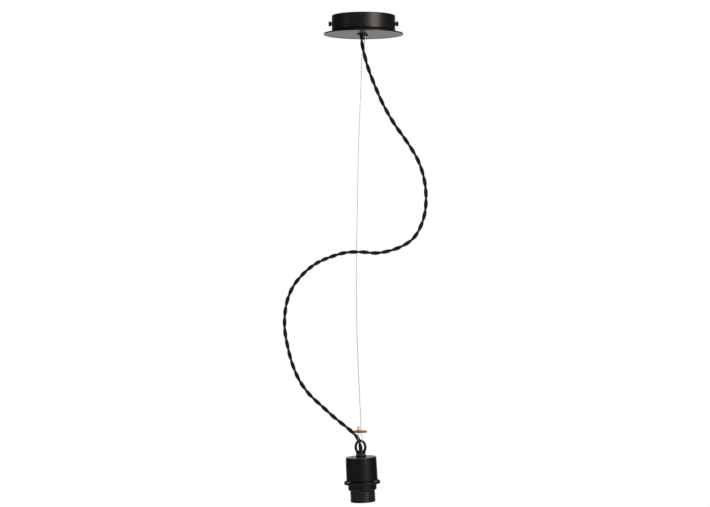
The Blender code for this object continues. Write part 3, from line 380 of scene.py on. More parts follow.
def braided(name, dark, light):
    """Braided yarn on a tube whose UV runs once round it and in metres along it, darker in the low places of
    its weave as painted shade.
    """
    made = new_material(name, light, roughness=0.8, specular=0.15)
    tree = made.node_tree
    place = tree.nodes.new("ShaderNodeUVMap")
    split = tree.nodes.new("ShaderNodeSeparateXYZ")
    tree.links.new(place.outputs[0], split.inputs[0])
    around = math_node(tree, "MULTIPLY", split.outputs[0], math.pi * BRAID_CARRIERS)
    along = math_node(tree, "MULTIPLY", split.outputs[1], math.tau / BRAID_PICK)
    left = math_node(tree, "SINE", math_node(tree, "ADD", around, along))
    right = math_node(tree, "SINE", math_node(tree, "SUBTRACT", around, along))
    weave = math_node(tree, "MAXIMUM", left, right)
    yarn = noise(made, YARN_GRAIN, detail=4.0)
    relief_and_shade = math_node(tree, "MULTIPLY_ADD", yarn, YARN_SHARE, weave)
    # The weave's relief also sets the tone: its low places between the yarns are darker, which is painted
    # shade, and the yarn noise adds a random tone
    two_tones(made, relief_and_shade, dark, light, low=0.1, high=1.0)
    bump(made, relief_and_shade, strength=0.9, depth=BRAID_DEPTH)
    shader(made).inputs["Sheen Weight"].default_value = BRAID_SHEEN
    shader(made).inputs["Sheen Roughness"].default_value = 0.5
    return made


def finishes():
    """One material for each slot of the record, by name, and two for single pieces."""
    return {
        "black_paint": mottled(
            "satin_black_paint", (0.006, 0.0052, 0.0045), (0.0066, 0.0056, 0.0046), (0.35, 0.41),
            0.0006, 0.000008, specular=0.45),
        "black_casting": mottled(
            "painted_casting", (0.006, 0.006, 0.0055), (0.0072, 0.0070, 0.0066), (0.32, 0.46),
            0.0007, 0.00005, specular=0.45),
        "black_resin": mottled(
            "moulded_resin", (0.0022, 0.0021, 0.0020), (0.0030, 0.0029, 0.0027), (0.35, 0.41),
            0.0005, 0.000006, specular=0.42),
        "black_nylon": mottled(
            "black_nylon", (0.009, 0.009, 0.009), (0.013, 0.013, 0.013), (0.42, 0.52),
            0.0004, 0.00001, specular=0.3),
        "white_nylon": mottled(
            "white_nylon", (0.66, 0.66, 0.62), (0.74, 0.74, 0.70), (0.42, 0.55), 0.0005, 0.00001),
        "black_fibre": mottled(
            "vulcanised_fibre", (0.012, 0.011, 0.010), (0.022, 0.020, 0.018), (0.7, 0.9), 0.0004, 0.00003),
        "white_ceramic": mottled(
            "glazed_ceramic", (0.70, 0.68, 0.62), (0.78, 0.76, 0.71), (0.16, 0.28), 0.0010, 0.00001),
        "brass": mottled(
            "brass", (0.26, 0.105, 0.014), (0.36, 0.155, 0.022), (0.26, 0.38),
            0.0005, 0.000008, metallic=1.0),
        "plated_brass": mottled(
            "plated_brass", (0.74, 0.67, 0.57), (0.84, 0.77, 0.66), (0.10, 0.18),
            0.0004, 0.000004, metallic=1.0),
        "spring_bronze": mottled(
            "spring_bronze", (0.50, 0.28, 0.11), (0.62, 0.38, 0.17), (0.25, 0.40),
            0.0005, 0.00001, metallic=1.0),
        "steel": mottled(
            "bright_steel", (0.46, 0.46, 0.46), (0.60, 0.60, 0.60), (0.22, 0.36),
            0.0004, 0.000008, metallic=1.0),
        "black_braid": braided("black_braid", (0.002, 0.0016, 0.0013), (0.010, 0.008, 0.0068)),
        "brown_core": mottled(
            "brown_core", (0.11, 0.04, 0.014), (0.16, 0.06, 0.02), (0.4, 0.5), 0.0008, 0.00001),
        "blue_core": mottled(
            "blue_core", (0.02, 0.08, 0.32), (0.03, 0.12, 0.42), (0.4, 0.5), 0.0008, 0.00001),
        "aged_brass": mottled(
            "aged_brass", (0.24, 0.096, 0.013), (0.33, 0.138, 0.020), (0.30, 0.40),
            0.0005, 0.000008, metallic=1.0, tint=(0.60, 0.34, 0.10)),
        "bright_wire": mottled(
            "bright_wire", (0.78, 0.78, 0.76), (0.90, 0.90, 0.88), (0.40, 0.50),
            0.0004, 0.000008, metallic=1.0),
    }


FINISH = finishes()


def paint_in_two(made, height, gloss_below, gloss_above):
    """The black paint with one gloss below a height and another above it."""
    made.data.materials.clear()
    for place, gloss in (("lower", gloss_below), ("upper", gloss_above)):
        paint = FINISH["black_paint"].copy()
        paint.name = f"{made.name}_{place}_paint"
        shader(paint).inputs["Specular IOR Level"].default_value = gloss
        made.data.materials.append(paint)
    for face in made.data.polygons:
        face.material_index = 1 if face.center.z > height else 0


def dress_nodes():
    """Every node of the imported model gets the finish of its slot."""
    for part in frame["record"]["subparts"]:
        node = frame["nodes"][part["node"]]
        node.data.materials.clear()
        node.data.materials.append(FINISH[part["material_slot"]])


def object_from(name, shape, material=None):
    """An object in the scene from a bmesh, which is used up."""
    mesh = bpy.data.meshes.new(name)
    shape.to_mesh(mesh)
    shape.free()
    if material:
        mesh.materials.append(material)
    made = bpy.data.objects.new(name, mesh)
    bpy.context.scene.collection.objects.link(made)
    return made


def piece_from(name, shape, slot, matrix, replaced, finish=None):
    """A piece of the light from a bmesh: placed, riding on the body, in its own finish or its slot's."""
    made = object_from(name, shape, FINISH[finish or slot])
    made.matrix_world = matrix
    smooth(made)
    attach(made, "root")
    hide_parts(replaced)
    return made


def smooth(made):
    """Smooth shading that keeps the sharp edges sharp."""
    made.data.shade_smooth()
    made.data.set_sharp_from_angle(angle=SHARP_ANGLE)
    made.modifiers.new("weighted", "WEIGHTED_NORMAL").keep_sharp = True


def freeze(made):
    """Make what a piece's modifiers give its own mesh."""
    bpy.context.view_layer.update()
    graph = bpy.context.evaluated_depsgraph_get()
    result = bpy.data.meshes.new_from_object(made.evaluated_get(graph))
    made.modifiers.clear()
    made.data = result


def carve(made, shape, matrix, operation="DIFFERENCE"):
    """Cut a shape out of a piece, or join it on, for good."""
    tool = object_from("tool", shape)
    tool.matrix_world = matrix
    made.modifiers.clear()
    change = made.modifiers.new("carve", "BOOLEAN")
    change.operation = operation
    change.object = tool
    freeze(made)
    bpy.data.objects.remove(tool)
    smooth(made)


def arc_corner(before, corner, after, radius):
    """Points of the fillet between two straight lines that meet at a corner."""
    start_side, end_side = before - corner, after - corner
    half = start_side.angle(end_side) / 2
    room = FILLET_SHARE * min(start_side.length, end_side.length) * math.tan(half)
    radius = min(radius, room)
    start_side.normalize()
    end_side.normalize()
    middle = corner + (start_side + end_side).normalized() * radius / math.sin(half)
    start = corner + start_side * radius / math.tan(half) - middle
    end = corner + end_side * radius / math.tan(half) - middle
    return [middle + start.slerp(end, step / FILLET_STEPS) * radius for step in range(FILLET_STEPS + 1)]


def rounded(corners):
    """An outline of (radius, height) points from corners, whose third value is a fillet."""
    points = [Vector(corner[:2]) for corner in corners]
    outline = []
    for index, corner in enumerate(corners):
        if len(corner) == 2:
            outline.append(points[index])
        else:
            after = points[(index + 1) % len(points)]
            outline.extend(arc_corner(points[index - 1], points[index], after, corner[2]))
    return outline


def bridge(shape, before, after):
    """A band of faces between two rings."""
    for side in range(len(before)):
        shape.faces.new((before[side - 1], before[side], after[side], after[side - 1]))


def lathe(corners, sides, radius_at=None):
    """A shape turned about Z. Starting and ending on the axis gives flat ends; radius_at bends each ring."""
    closed = min(corner[0] for corner in corners) > 0
    shape = bmesh.new()
    rings = []
    for radius, height in rounded(corners):
        if radius <= 0:
            continue
        ring = []
        for side in range(sides):
            turn = math.tau * side / sides
            here = radius_at(radius, height, turn) if radius_at else radius
            ring.append(shape.verts.new((here * math.cos(turn), here * math.sin(turn), height)))
        rings.append(ring)
    for index in range(0 if closed else 1, len(rings)):
        bridge(shape, rings[index - 1], rings[index])
    if not closed:
        shape.faces.new(rings[0])
        shape.faces.new(rings[-1])
    bmesh.ops.recalc_face_normals(shape, faces=shape.faces)
    return shape


def cylinder(diameter, bottom, top, sides=SMALL_SIDES):
    radius = diameter / 2
    return lathe([(0, bottom), (radius, bottom), (radius, top), (0, top)], sides)


def smooth_route(route):
    """Points along one smooth curve through every point of a route in millimetres, in metres."""
    points = [Vector(point) / 1000 for point in route]
    spans = [(after - before).length for before, after in zip(points, points[1:])]
    slopes = [(after - before) / span for before, after, span in zip(points, points[1:], spans)]
    tangents = [slopes[0]]
    for first, second, before, after in zip(slopes, slopes[1:], spans, spans[1:]):
        tangents.append((first * after + second * before) / (before + after))
    tangents.append(slopes[-1])
    curve = []
    for index, span in enumerate(spans):
        start, end = points[index], points[index + 1]
        leave, arrive = tangents[index] * span, tangents[index + 1] * span
        for step in range(ROUTE_STEPS):
            t = step / ROUTE_STEPS
            curve.append(
                start * (2 * t**3 - 3 * t**2 + 1) + leave * (t**3 - 2 * t**2 + t)
                + end * (3 * t**2 - 2 * t**3) + arrive * (t**3 - t**2)
            )
    curve.append(points[-1])
    return curve


def even_path(route, spacing):
    """The smooth curve through a route, as points an even distance apart."""
    fine = smooth_route(route)
    total = sum((after - before).length for before, after in zip(fine, fine[1:]))
    count = round(total / spacing)
    step = total / count
    path = [fine[0]]
    travelled, target = 0.0, step
    for before, after in zip(fine, fine[1:]):
        length = (after - before).length
        while target <= travelled + length and len(path) < count:
            path.append(before.lerp(after, (target - travelled) / length))
            target += step
        travelled += length
    path.append(fine[-1])
    return path


def frames_along(path):
    """(direction, side, other side) at each point, turned as little as can be from one to the next."""
    ways = [(path[1] - path[0]).normalized()]
    for before, after in zip(path, path[2:]):
        ways.append((after - before).normalized())
    ways.append((path[-1] - path[-2]).normalized())
    side = ways[0].orthogonal().normalized()
    found = []
    for way in ways:
        side = (side - way * side.dot(way)).normalized()
        found.append((way, side, way.cross(side)))
    return found


def add_tube(shape, uv, path, radius_at, sides):
    """A tube along a path, with its UV once round it and in metres along it."""
    rings = []
    distances = [0.0]
    for before, after in zip(path, path[1:]):
        distances.append(distances[-1] + (after - before).length)
    for point, distance, (way, side, other) in zip(path, distances, frames_along(path)):
        ring = []
        for corner in range(sides):
            turn = math.tau * corner / sides
            out = side * math.cos(turn) + other * math.sin(turn)
            ring.append(shape.verts.new(point + out * radius_at(turn, distance)))
        rings.append(ring)
    for index in range(1, len(rings)):
        before, after = rings[index - 1], rings[index]
        start, end = distances[index - 1], distances[index]
        for corner in range(sides):
            following = (corner + 1) % sides
            face = shape.faces.new((before[corner], before[following], after[following], after[corner]))
            left, right = corner / sides, (corner + 1) / sides
            for loop, spot in zip(face.loops, ((left, start), (right, start), (right, end), (left, end))):
                loop[uv].uv = spot
            face.smooth = True
    shape.faces.new(rings[0][::-1])
    shape.faces.new(rings[-1])


def twist_turns(path):
    """How far the two strands have turned at each point of the cord's path."""
    turns = []
    turned = TWIST_START
    for index in range(len(path)):
        share = index / (len(path) - 1)
        tightness = math.exp(-(((share - TWIST_TIGHT_AT) / TWIST_TIGHT_SPREAD) ** 2))
        pitch = TWIST_PITCH_TOP + (TWIST_PITCH_END - TWIST_PITCH_TOP) * min(1.0, share * 2)
        pitch -= TWIST_TIGHTER_BY * tightness
        if index:
            turned += math.tau * (path[index] - path[index - 1]).length / pitch
        turns.append(turned)
    return turns


def twisted_pair():
    """Two fabric covered strands twisted together, on the cord's route."""
    path = even_path(CORD_ROUTE, CORD_STEP)
    radius = CORD_DIAMETER / 4
    offset = radius * STRAND_NESTING
    shape = bmesh.new()
    uv = shape.loops.layers.uv.new("UVMap")
    for half_turn in (0.0, math.pi):
        strand = []
        for point, (way, side, other), turned in zip(path, frames_along(path), twist_turns(path)):
            turn = turned + half_turn
            strand.append(point + (side * math.cos(turn) + other * math.sin(turn)) * offset)
        add_tube(shape, uv, strand, lambda turn, distance: radius * STRAND_TIGHTNESS, STRAND_SIDES)
    made = piece_from("twisted_pair", shape, "black_braid", Matrix(), "twisted_cord")
    made.modifiers.clear()


def wire_rope():
    """The stranded steel wire, through the lock, round the loop and back up."""
    path = even_path(WIRE_ROUTE, WIRE_STEP)
    radius = WIRE_DIAMETER / 2

    def lobed(turn, distance):
        lay = turn - math.tau * distance / WIRE_LAY
        return radius * (1 - WIRE_STRAND_RISE + WIRE_STRAND_RISE * abs(math.cos(lay * WIRE_STRANDS / 2)))

    shape = bmesh.new()
    uv = shape.loops.layers.uv.new("UVMap")
    add_tube(shape, uv, path, lobed, WIRE_SIDES)
    made = piece_from("wire_rope", shape, "steel", Matrix(), "suspension_wire", "bright_wire")
    made.modifiers.clear()


def reach(node, matrix=Matrix()):
    """(radius, lowest, highest) of a turned node in its own frame."""
    to_own = matrix.inverted()
    spots = [to_own @ vertex.co for vertex in frame["nodes"][node].data.vertices]
    heights = [spot.z for spot in spots]
    return max(spot.xy.length for spot in spots), min(heights), max(heights)


def upright(node):
    """(radius, lowest, highest) of a turned node that stands upright away from the origin."""
    low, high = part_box(node)
    return (high.x - low.x) / 2, low.z, high.z


def side_holes(made):
    """The holes for the two side screws, cut in one go across the rose."""
    length = 2 * reach("ceiling_cup")[0]
    across = Matrix.Translation((0, 0, SIDE_HOLE_Z)) @ Matrix.Rotation(math.pi / 2, 4, "Y")
    carve(made, cylinder(SIDE_HOLE_DIAMETER, -length, length), across)


def cup():
    """The cup of the rose, open below, with its holes and its two fixing slots."""
    radius, low, high = reach("ceiling_cup")
    inner = radius - SHEET
    corners = [
        (0, high), (radius, high, CUP_BEND), (radius, low, SHEET / 3), (inner, low, SHEET / 3),
        (inner, high - SHEET, CUP_BEND - SHEET), (0, high - SHEET),
    ]
    made = piece_from("cup_shell", lathe(corners, WIDE_SIDES), "black_paint", Matrix(), "ceiling_cup")
    for x, y, diameter in CUP_HOLES:
        carve(made, cylinder(diameter, -CUT_PAST, CUT_PAST), Matrix.Translation((x, y, 0)))
    for side in (-1, 1):
        slot = cylinder(SLOT_WIDTH, -CUT_PAST, CUT_PAST)
        for vertex in slot.verts:
            vertex.co.x += math.copysign((SLOT_LENGTH - SLOT_WIDTH) / 2, vertex.co.x)
        carve(made, slot, Matrix.Translation((0, side * SLOT_SPACING / 2, 0)))
    side_holes(made)
    paint_in_two(made, high - SHEET / 2, CUP_GLOSS, CEILING_SIDE_GLOSS)


def plate():
    """The cover plate, whose underside eases down to its rim, with its collar."""
    radius, rim_low, high = reach("cover_plate")
    low = rim_low + PLATE_RIM_DROP
    top = low + PLATE_THICKNESS
    eased = []
    for step in range(PLATE_RIM_STEPS):
        share = step / PLATE_RIM_STEPS
        eased.append((radius - PLATE_RIM_RUN * (1 - share), low - PLATE_RIM_DROP * share**PLATE_RIM_EASE))
    collar = reach("ceiling_cup")[0] - SHEET - GAP
    corners = [
        (0, low), *eased, (radius, rim_low, SMALL_EDGE), (radius, top, SMALL_EDGE),
        (collar, top, SHEET / 2), (collar, high, SHEET / 3),
        (collar - SHEET, high, SHEET / 3), (collar - SHEET, top, SHEET / 2), (0, top),
    ]
    made = piece_from("plate_disc", lathe(corners, WIDE_SIDES), "black_paint", Matrix(), "cover_plate")
    for x, y, diameter in (CORD_HOLE, WIRE_HOLE):
        carve(made, cylinder(diameter, low - CUT_PAST, top + CUT_PAST), Matrix.Translation((x, y, 0)))
    side_holes(made)
    # The collar above the plate's top gets almost no gloss: painted shade under the cup's rim
    paint_in_two(made, top + SHEET / 2, PLATE_GLOSS, COLLAR_SHADE_GLOSS)


def cord_outlet():
    """The bush that the cord leaves by."""
    radius, low, high = upright("cord_bush")
    x, y, hole = CORD_HOLE
    bore, stem, under = CORD_BORE / 2, hole / 2 - GAP, low + BUSH_FLANGE
    corners = [
        (bore, low, BUSH_MOUTH_EDGE), (radius, low, BUSH_RIM_EDGE), (radius, under, FINE_EDGE),
        (stem, under), (stem, high, SMALL_EDGE), (bore, high, SMALL_EDGE),
    ]
    spot = Matrix.Translation((x, y, 0))
    piece_from("cord_outlet", lathe(corners, SMALL_SIDES), "black_nylon", spot, "cord_bush")


def wire_outlet():
    """The nickel plated nipple that the wire leaves by."""
    radius, low, high = upright("wire_nipple")
    x, y, hole = WIRE_HOLE
    neck, neck_top = NIPPLE_NECK_DIAMETER / 2, low + NIPPLE_NECK
    bore, stem, under = WIRE_BORE / 2, NIPPLE_STEM_DIAMETER / 2, neck_top + NIPPLE_FLANGE
    corners = [
        (bore, low, FINE_EDGE), (neck, low, NIPPLE_TIP_EDGE), (neck, neck_top, SMALL_EDGE),
        (radius, neck_top, SOFT_EDGE), (radius, under, MILD_EDGE), (stem, under),
        (stem, high, SMALL_EDGE), (bore, high, FINE_EDGE),
    ]
    spot = Matrix.Translation((x, y, 0))
    piece_from("wire_outlet", lathe(corners, SMALL_SIDES), "plated_brass", spot, "wire_nipple")


def knurled(rim):
    """How the knurls bend the rim of a head of that radius."""
    def radius_at(radius, height, turn):
        if radius <= rim * KNURL_FROM_SHARE:
            return radius
        return radius - KNURL_DEPTH * (0.5 + 0.5 * math.cos(turn * KNURLS))
    return radius_at


def side_knobs():
    """The two knurled screws at the sides of the rose, pointing at its middle."""
    for node, side in (("side_screw_left", -1), ("side_screw_right", 1)):
        low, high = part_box(node)
        radius = (high.y - low.y) / 2
        outer, inner = (high.x, low.x) if side > 0 else (-low.x, -high.x)
        shank, neck = SIDE_HOLE_DIAMETER / 2 - GAP, radius * KNOB_NECK_SHARE
        seat = reach("ceiling_cup")[0] + GAP
        under = seat + KNOB_NECK
        corners = [
            (0, inner), (shank, inner, MILD_EDGE), (shank, seat), (neck, seat), (neck, under),
            (radius, under, FINE_EDGE), (radius, outer, SOFT_EDGE), (0, outer),
        ]
        shape = lathe(corners, KNOB_SIDES, knurled(radius))
        place = Matrix.Translation((0, 0, SIDE_HOLE_Z)) @ Matrix.Rotation(side * math.pi / 2, 4, "Y")
        piece_from(f"{node}_knurled", shape, "black_paint", place, node)


def lock_disc():
    """The wire lock, with its two wire holes and the hole of its screw, whose own frame it gives back."""
    low_corner, high_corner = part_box("wire_lock_disc")
    centre = (low_corner + high_corner) / 2
    radius, low, high = upright("wire_lock_disc")
    bottom, top = low - centre.z, high - centre.z
    corners = [(0, bottom), (radius, bottom, LOCK_EDGE), (radius, top, LOCK_EDGE), (0, top)]
    spot = Matrix.Translation(centre)
    made = piece_from("lock_disc", lathe(corners, ROUND_SIDES), "brass", spot, "wire_lock_disc", "aged_brass")
    for x in LOCK_HOLES:
        hole = cylinder(WIRE_BORE, bottom - CUT_PAST / 2, top + CUT_PAST / 2, HOLE_SIDES)
        carve(made, hole, spot @ Matrix.Translation((x, 0, 0)))
    along = spot @ Matrix.Rotation(LOCK_SCREW_ANGLE, 4, "Z") @ Matrix.Rotation(math.pi / 2, 4, "Y")
    carve(made, cylinder(LOCK_SCREW_HOLE, LOCK_SCREW_HOLE_START, radius + CUT_PAST, HOLE_SIDES), along)
    return along


def lock_screw(along):
    """The slotted screw that pinches the wire, pointing at the middle of the disc."""
    radius, tip, top = reach("lock_screw", along)
    seat = top - LOCK_HEAD_HEIGHT
    shank = LOCK_SCREW_DIAMETER / 2
    corners = [
        (0, tip), (shank, tip, FINE_EDGE), (shank, seat), (radius, seat), (radius, top, FINE_EDGE), (0, top),
    ]
    made = piece_from("lock_screw_slotted", lathe(corners, SMALL_SIDES), "steel", along, "lock_screw")
    slot = bmesh.new()
    bmesh.ops.create_cube(slot, size=1)
    for vertex in slot.verts:
        x, y, z = vertex.co
        vertex.co = (x * 3 * radius, y * LOCK_SLOT_WIDTH, z * 2 * LOCK_SLOT_DEPTH + top)
    carve(made, slot, along)


def wire_ferrule():
    """The ferrule on the wire's end, with the rings that the crimping tool leaves."""
    radius, low, high = upright("wire_end_ferrule")
    bore, depth = WIRE_BORE / 2, low + FERRULE_BORE_DEPTH
    corners = [(0, depth), (bore, depth), (bore, low), (radius, low, FINE_EDGE)]
    for share in CRIMP_PLACES:
        middle = low + (high - low) * share
        corners.extend((
            (radius, middle - CRIMP_WIDTH / 2), (radius - CRIMP_DEPTH, middle, CRIMP_WIDTH),
            (radius, middle + CRIMP_WIDTH / 2),
        ))
    corners.extend(((radius, high, FERRULE_EDGE), (0, high)))
    low_corner, high_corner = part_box("wire_end_ferrule")
    spot = Matrix.Translation(((low_corner.x + high_corner.x) / 2, (low_corner.y + high_corner.y) / 2, 0))
    piece_from("ferrule_crimped", lathe(corners, SMALL_SIDES), "steel", spot, "wire_end_ferrule")


def loop_bar(heel_z):
    """The round bar of the loop, in the XZ plane, thicker towards its two heels."""
    belly_x = (LOOP_WIDTH - LOOP_BAR) / 2
    neck_x = (LOOP_NECK_WIDTH - LOOP_BAR * LOOP_NECK_SWELL) / 2
    down = (0, -1)
    # Each knot: its place, the way the bar runs there, the reach of its two handles and its thickness.
    half = (
        ((0, LOOP_BAR / 2), (1, 0), CROWN_RUN, CROWN_RUN, 1.0),
        ((belly_x, -LOOP_BELLY_DROP), down, *BELLY_RUNS, 1.0),
        ((neck_x, -LOOP_NECK_DROP), down, *NECK_RUNS, LOOP_NECK_SWELL),
        ((neck_x, heel_z), down, HEEL_RUN, HEEL_RUN, LOOP_HEEL_SWELL),
    )
    knots = [((-x, z), (0, 1), after, before, swell) for (x, z), _, before, after, swell in half[:0:-1]]
    knots.extend(half)
    path = []
    swells = []
    for (spot, way, _, run_out, swell), (next_spot, next_way, run_in, _, next_swell) in zip(knots, knots[1:]):
        start, end = Vector((spot[0], 0, spot[1])), Vector((next_spot[0], 0, next_spot[1]))
        leave = start + Vector((way[0], 0, way[1])) * run_out
        arrive = end - Vector((next_way[0], 0, next_way[1])) * run_in
        path.extend(interpolate_bezier(start, leave, arrive, end, LOOP_STEPS + 1)[:LOOP_STEPS])
        swells.extend(swell + (next_swell - swell) * step / LOOP_STEPS for step in range(LOOP_STEPS))
    path.append(end)
    swells.append(next_swell)
    shape = bmesh.new()
    rings = []
    for point, swell, (way, side, other) in zip(path, swells, frames_along(path)):
        ring = []
        for corner in range(SMALL_SIDES):
            turn = math.tau * corner / SMALL_SIDES
            out = side * math.cos(turn) + other * math.sin(turn)
            ring.append(shape.verts.new(point + out * swell * LOOP_BAR / 2))
        rings.append(ring)
    for before, after in zip(rings, rings[1:]):
        bridge(shape, before, after)
    shape.faces.new(rings[0])
    shape.faces.new(rings[-1])
    bmesh.ops.recalc_face_normals(shape, faces=shape.faces)
    return shape


def cast_loop():
    """The loop as one casting, with soft fillets where its legs run into the foot."""
    low = reach("lamp_loop", HOLDER)[1]
    seat = reach("holder_cap", HOLDER)[2] + GAP
    foot, boss, stem = LOOP_FOOT_DIAMETER / 2, LOOP_BOSS_DIAMETER / 2, LOOP_STEM_DIAMETER / 2
    foot_top = seat + LOOP_FOOT_HEIGHT
    lower_edge, upper_edge = LOOP_FOOT_EDGES
    corners = [
        (0, low), (stem, low), (stem, seat), (foot, seat, lower_edge), (foot, foot_top, upper_edge),
        (boss, foot_top + LOOP_WAIST_RISE, LOOP_WAIST_FILLET), (boss, LOOP_BOSS_TOP, LOOP_BOSS_EDGE),
        (0, LOOP_BOSS_TOP),
    ]
    made = piece_from("loop_casting", lathe(corners, ROUND_SIDES), "black_casting", HOLDER, "lamp_loop")
    carve(made, loop_bar(foot_top), HOLDER, "UNION")
    bore, flare = LOOP_BORE / 2, LOOP_BOSS_TOP - BORE_FLARE_DEPTH
    mouth, above = bore + BORE_FLARE, LOOP_BOSS_TOP + CASTING_GRID / 4
    corners = [
        (0, low - BORE_FLARE), (bore, low - BORE_FLARE), (bore, flare), (mouth, above), (0, above),
    ]
    carve(made, lathe(corners, ROUND_SIDES), HOLDER)
    made.modifiers.clear()
    grid = made.modifiers.new("grid", "REMESH")
    grid.mode = "VOXEL"
    grid.voxel_size = CASTING_GRID
    soften = made.modifiers.new("soften", "SMOOTH")
    soften.factor = 0.5
    soften.iterations = CASTING_SOFTENING
    freeze(made)
    made.data.shade_smooth()


def cap():
    """The cap of the lampholder, hollow, which the skirt screws into."""
    radius, low, high = reach("holder_cap", HOLDER)
    hole, top = CAP_HOLE / 2, CAP_TOP_DIAMETER / 2
    band, band_top = reach("threaded_skirt", HOLDER)[0] + GAP, low + BAND_HEIGHT
    inside, ceiling = top - CAP_WALL, high - CAP_WALL
    corners = [
        (hole, high, SMALL_EDGE), (top, high, CAP_EDGE), (radius, low, SOFT_EDGE),
        (band, low, CAP_MOUTH_EDGE), (band, band_top), (inside, band_top),
        (inside, ceiling, CAP_INNER_FILLET), (hole, ceiling),
    ]
    piece_from("cap_shell", lathe(corners, ROUND_SIDES), "black_resin", HOLDER, "holder_cap")


def ring():
    """The shade ring, with a lip round its recess and a stepped collar below."""
    radius, low, high = reach("shade_ring", HOLDER)
    bore, lip = reach("threaded_skirt", HOLDER)[0] + GAP, radius - RING_LIP_WIDTH
    collar, tail = RING_COLLAR_DIAMETER / 2, RING_TAIL_DIAMETER / 2
    top, step = high - RING_LIP, low + RING_TAIL
    under = top - RING_THICKNESS
    corners = [
        (bore, top, MILD_EDGE), (lip, top, SMALL_EDGE), (lip, high, SMALL_EDGE), (radius, high, MILD_EDGE),
        (radius, under, SOFT_EDGE), (collar, under, SOFT_EDGE), (collar, step, collar - tail), (tail, step),
        (tail, low, MILD_EDGE), (bore, low, FINE_EDGE),
    ]
    piece_from("ring_turned", lathe(corners, ROUND_SIDES), "black_resin", HOLDER, "shade_ring")


def thread_rows(radius, start, end):
    """Close rows of an outline along a threaded stretch."""
    count = round(abs(end - start) / THREAD_STEP)
    return [(radius, start + (end - start) * row / count) for row in range(count + 1)]


def threaded(walls, depth, pitch, roundness, ends, runs):
    """How a thread's groove bends the round walls of those radii, run out towards its two ends."""
    low, high = ends
    run_in, run_out = runs

    def radius_at(radius, height, turn):
        if min(abs(radius - wall) for wall in walls) > SAME_RADIUS:
            return radius
        fade = max(0.0, min(1.0, (height - low) / run_in, (high - height) / run_out))
        wave = math.cos(math.tau * height / pitch - turn)
        return radius - fade * depth * (0.5 - 0.5 * math.copysign(abs(wave) ** roundness, wave))

    return radius_at


def skirt():
    """The threaded skirt, its thread cut into the outer wall."""
    radius, low, high = reach("threaded_skirt", HOLDER)
    bore, ledge = radius - SKIRT_WALL, reach("screw_shell", HOLDER)[0] - GAP
    ledge_low = low + SKIRT_MOUTH
    ledge_top = ledge_low + SHELL_LEDGE
    inner_edge, outer_edge = SKIRT_MOUTH_EDGES
    corners = [
        (bore, high), (bore, ledge_top), (ledge, ledge_top), (ledge, ledge_low, SMALL_EDGE),
        (bore, ledge_low), (bore, low, inner_edge), (radius, low, outer_edge),
        *thread_rows(radius, low + SKIRT_ROWS_FROM, high),
    ]
    ends = (low + SKIRT_THREAD_FROM, high)
    runs = (SKIRT_PITCH / 2, SKIRT_PITCH / 2)
    cut = threaded([radius], SKIRT_THREAD_DEPTH, SKIRT_PITCH, SKIRT_THREAD_ROUNDNESS, ends, runs)
    piece_from("skirt_thread", lathe(corners, ROUND_SIDES, cut), "black_resin", HOLDER, "threaded_skirt")


def shell():
    """The brass shell, rolled from sheet with the lamp's thread in it."""
    radius, low, high = reach("screw_shell", HOLDER)
    inner = radius - SHELL_SHEET
    corners = thread_rows(radius, low, high) + thread_rows(inner, high, low)
    ends = (low, high)
    runs = (LAMP_PITCH / 2, LAMP_PITCH)
    rolled = threaded([radius, inner], LAMP_THREAD_DEPTH, LAMP_PITCH, LAMP_THREAD_ROUNDNESS, ends, runs)
    piece_from("shell_rolled", lathe(corners, ROUND_SIDES, rolled), "brass", HOLDER, "screw_shell")


def make_camera():
    """The camera at the photograph's place: level, its axis through the middle of the frame."""
    focal_pixels = LENS / SENSOR * PHOTO_WIDTH
    distance = focal_pixels * METRES_PER_PIXEL
    x = (PHOTO_WIDTH / 2 - ORIGIN_PIXEL[0]) * METRES_PER_PIXEL
    z = (ORIGIN_PIXEL[1] - PHOTO_HEIGHT / 2) * METRES_PER_PIXEL
    data = bpy.data.cameras.new("camera")
    data.lens = LENS
    data.sensor_width = SENSOR
    data.clip_start = CLIP_START
    data.clip_end = CLIP_END
    camera = bpy.data.objects.new("camera", data)
    camera.location = (x, -distance, z)
    camera.rotation_euler = (math.pi / 2, 0, 0)
    bpy.context.scene.collection.objects.link(camera)
    bpy.context.scene.camera = camera


def make_lights():
    """A warm window to the right of the camera and high, and weak fill from the left and above."""
    for name, (place, target, size, power, colour) in LIGHTS.items():
        data = bpy.data.lights.new(name, "AREA")
        data.shape = "RECTANGLE"
        data.size, data.size_y = size
        data.energy = power
        data.color = colour
        light = bpy.data.objects.new(name, data)
        light.location = place
        light.rotation_euler = (Vector(target) - Vector(place)).to_track_quat("-Z", "Y").to_euler()
        bpy.context.scene.collection.objects.link(light)


def grid_shape(size, squares):
    shape = bmesh.new()
    bmesh.ops.create_grid(shape, x_segments=squares, y_segments=squares, size=size / 2)
    return shape


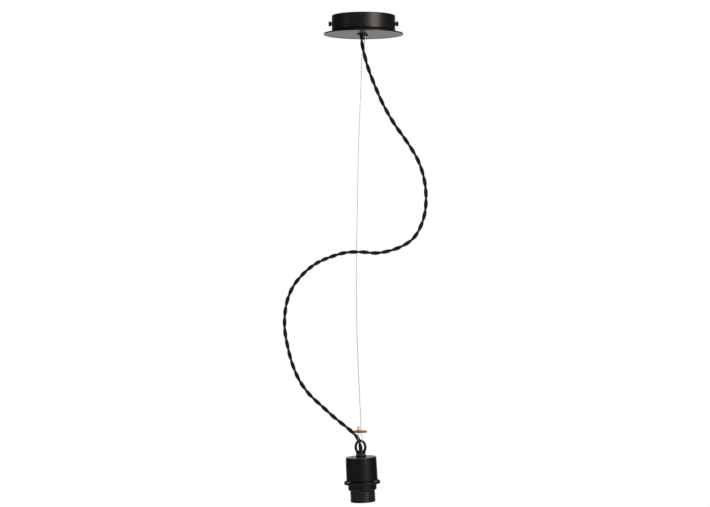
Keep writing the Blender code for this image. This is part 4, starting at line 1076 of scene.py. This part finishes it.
def make_studio():
    """Dark studio walls behind the camera and at both sides, seen only in the gloss of the light's pieces."""
    dark = mottled("studio_cloth", (0.006, 0.006, 0.006), (0.012, 0.012, 0.012), (0.85, 0.95), 0.004, 0.0002)
    depth = STUDIO_BACK - STUDIO_FRONT
    middle = (STUDIO_BACK + STUDIO_FRONT) / 2
    walls = (
        ("left_wall", (-STUDIO_HALF_WIDTH, middle), depth, 0),
        ("right_wall", (STUDIO_HALF_WIDTH, middle), depth, 0),
        ("camera_wall", (0, STUDIO_FRONT), 2 * STUDIO_HALF_WIDTH, math.pi / 2),
    )
    for name, (x, y), length, turn in walls:
        wall = object_from(name, grid_shape(1.0, 1), dark)
        wall.location = (x, y, STUDIO_MIDDLE)
        wall.rotation_euler = (0, math.pi / 2, turn)
        wall.scale = (STUDIO_HEIGHT, length, 1)
        wall.visible_camera = False
        wall.visible_diffuse = False
        wall.visible_shadow = False
        wall.visible_transmission = False


def seen_directly(tree):
    """1 where a surface is seen by the camera, in a reflection or through glass."""
    path = tree.nodes.new("ShaderNodeLightPath")
    first = math_node(tree, "MAXIMUM", path.outputs["Is Camera Ray"], path.outputs["Is Glossy Ray"])
    return math_node(tree, "MAXIMUM", first, path.outputs["Is Transmission Ray"])


def make_room():
    """A white room: plain white where it is seen, and weaker as a lamp."""
    world = bpy.data.worlds.new("room")
    bpy.context.scene.world = world
    world.use_nodes = True
    tree = world.node_tree
    lighting = tree.nodes["Background"]
    seen = tree.nodes.new("ShaderNodeBackground")
    for background, strength in ((lighting, ROOM_LIGHT), (seen, 1.0)):
        background.inputs["Color"].default_value = (1, 1, 1, 1)
        background.inputs["Strength"].default_value = strength
    choice = tree.nodes.new("ShaderNodeMixShader")
    tree.links.new(seen_directly(tree), choice.inputs[0])
    tree.links.new(lighting.outputs[0], choice.inputs[1])
    tree.links.new(seen.outputs[0], choice.inputs[2])
    tree.links.new(choice.outputs[0], tree.nodes["World Output"].inputs["Surface"])


def make_floor():
    """A pale floor some way below the light, out of the photograph's frame."""
    paint = mottled("floor_paint", (0.76, 0.76, 0.75), (0.79, 0.79, 0.78), (0.8, 0.9), 0.004, 0.00005)
    floor = object_from("floor", grid_shape(FLOOR_SIZE, FLOOR_SQUARES), paint)
    floor.location = (0, 0, solid_box[0].z - FLOOR_DROP)


make_camera()
make_lights()
make_studio()
make_room()
make_floor()
dress_nodes()
cup()
plate()
cord_outlet()
wire_outlet()
side_knobs()
twisted_pair()
wire_rope()
lock_screw(lock_disc())
wire_ferrule()
cast_loop()
cap()
ring()
skirt()
shell()
bpy.context.scene.view_settings.view_transform = "Standard"
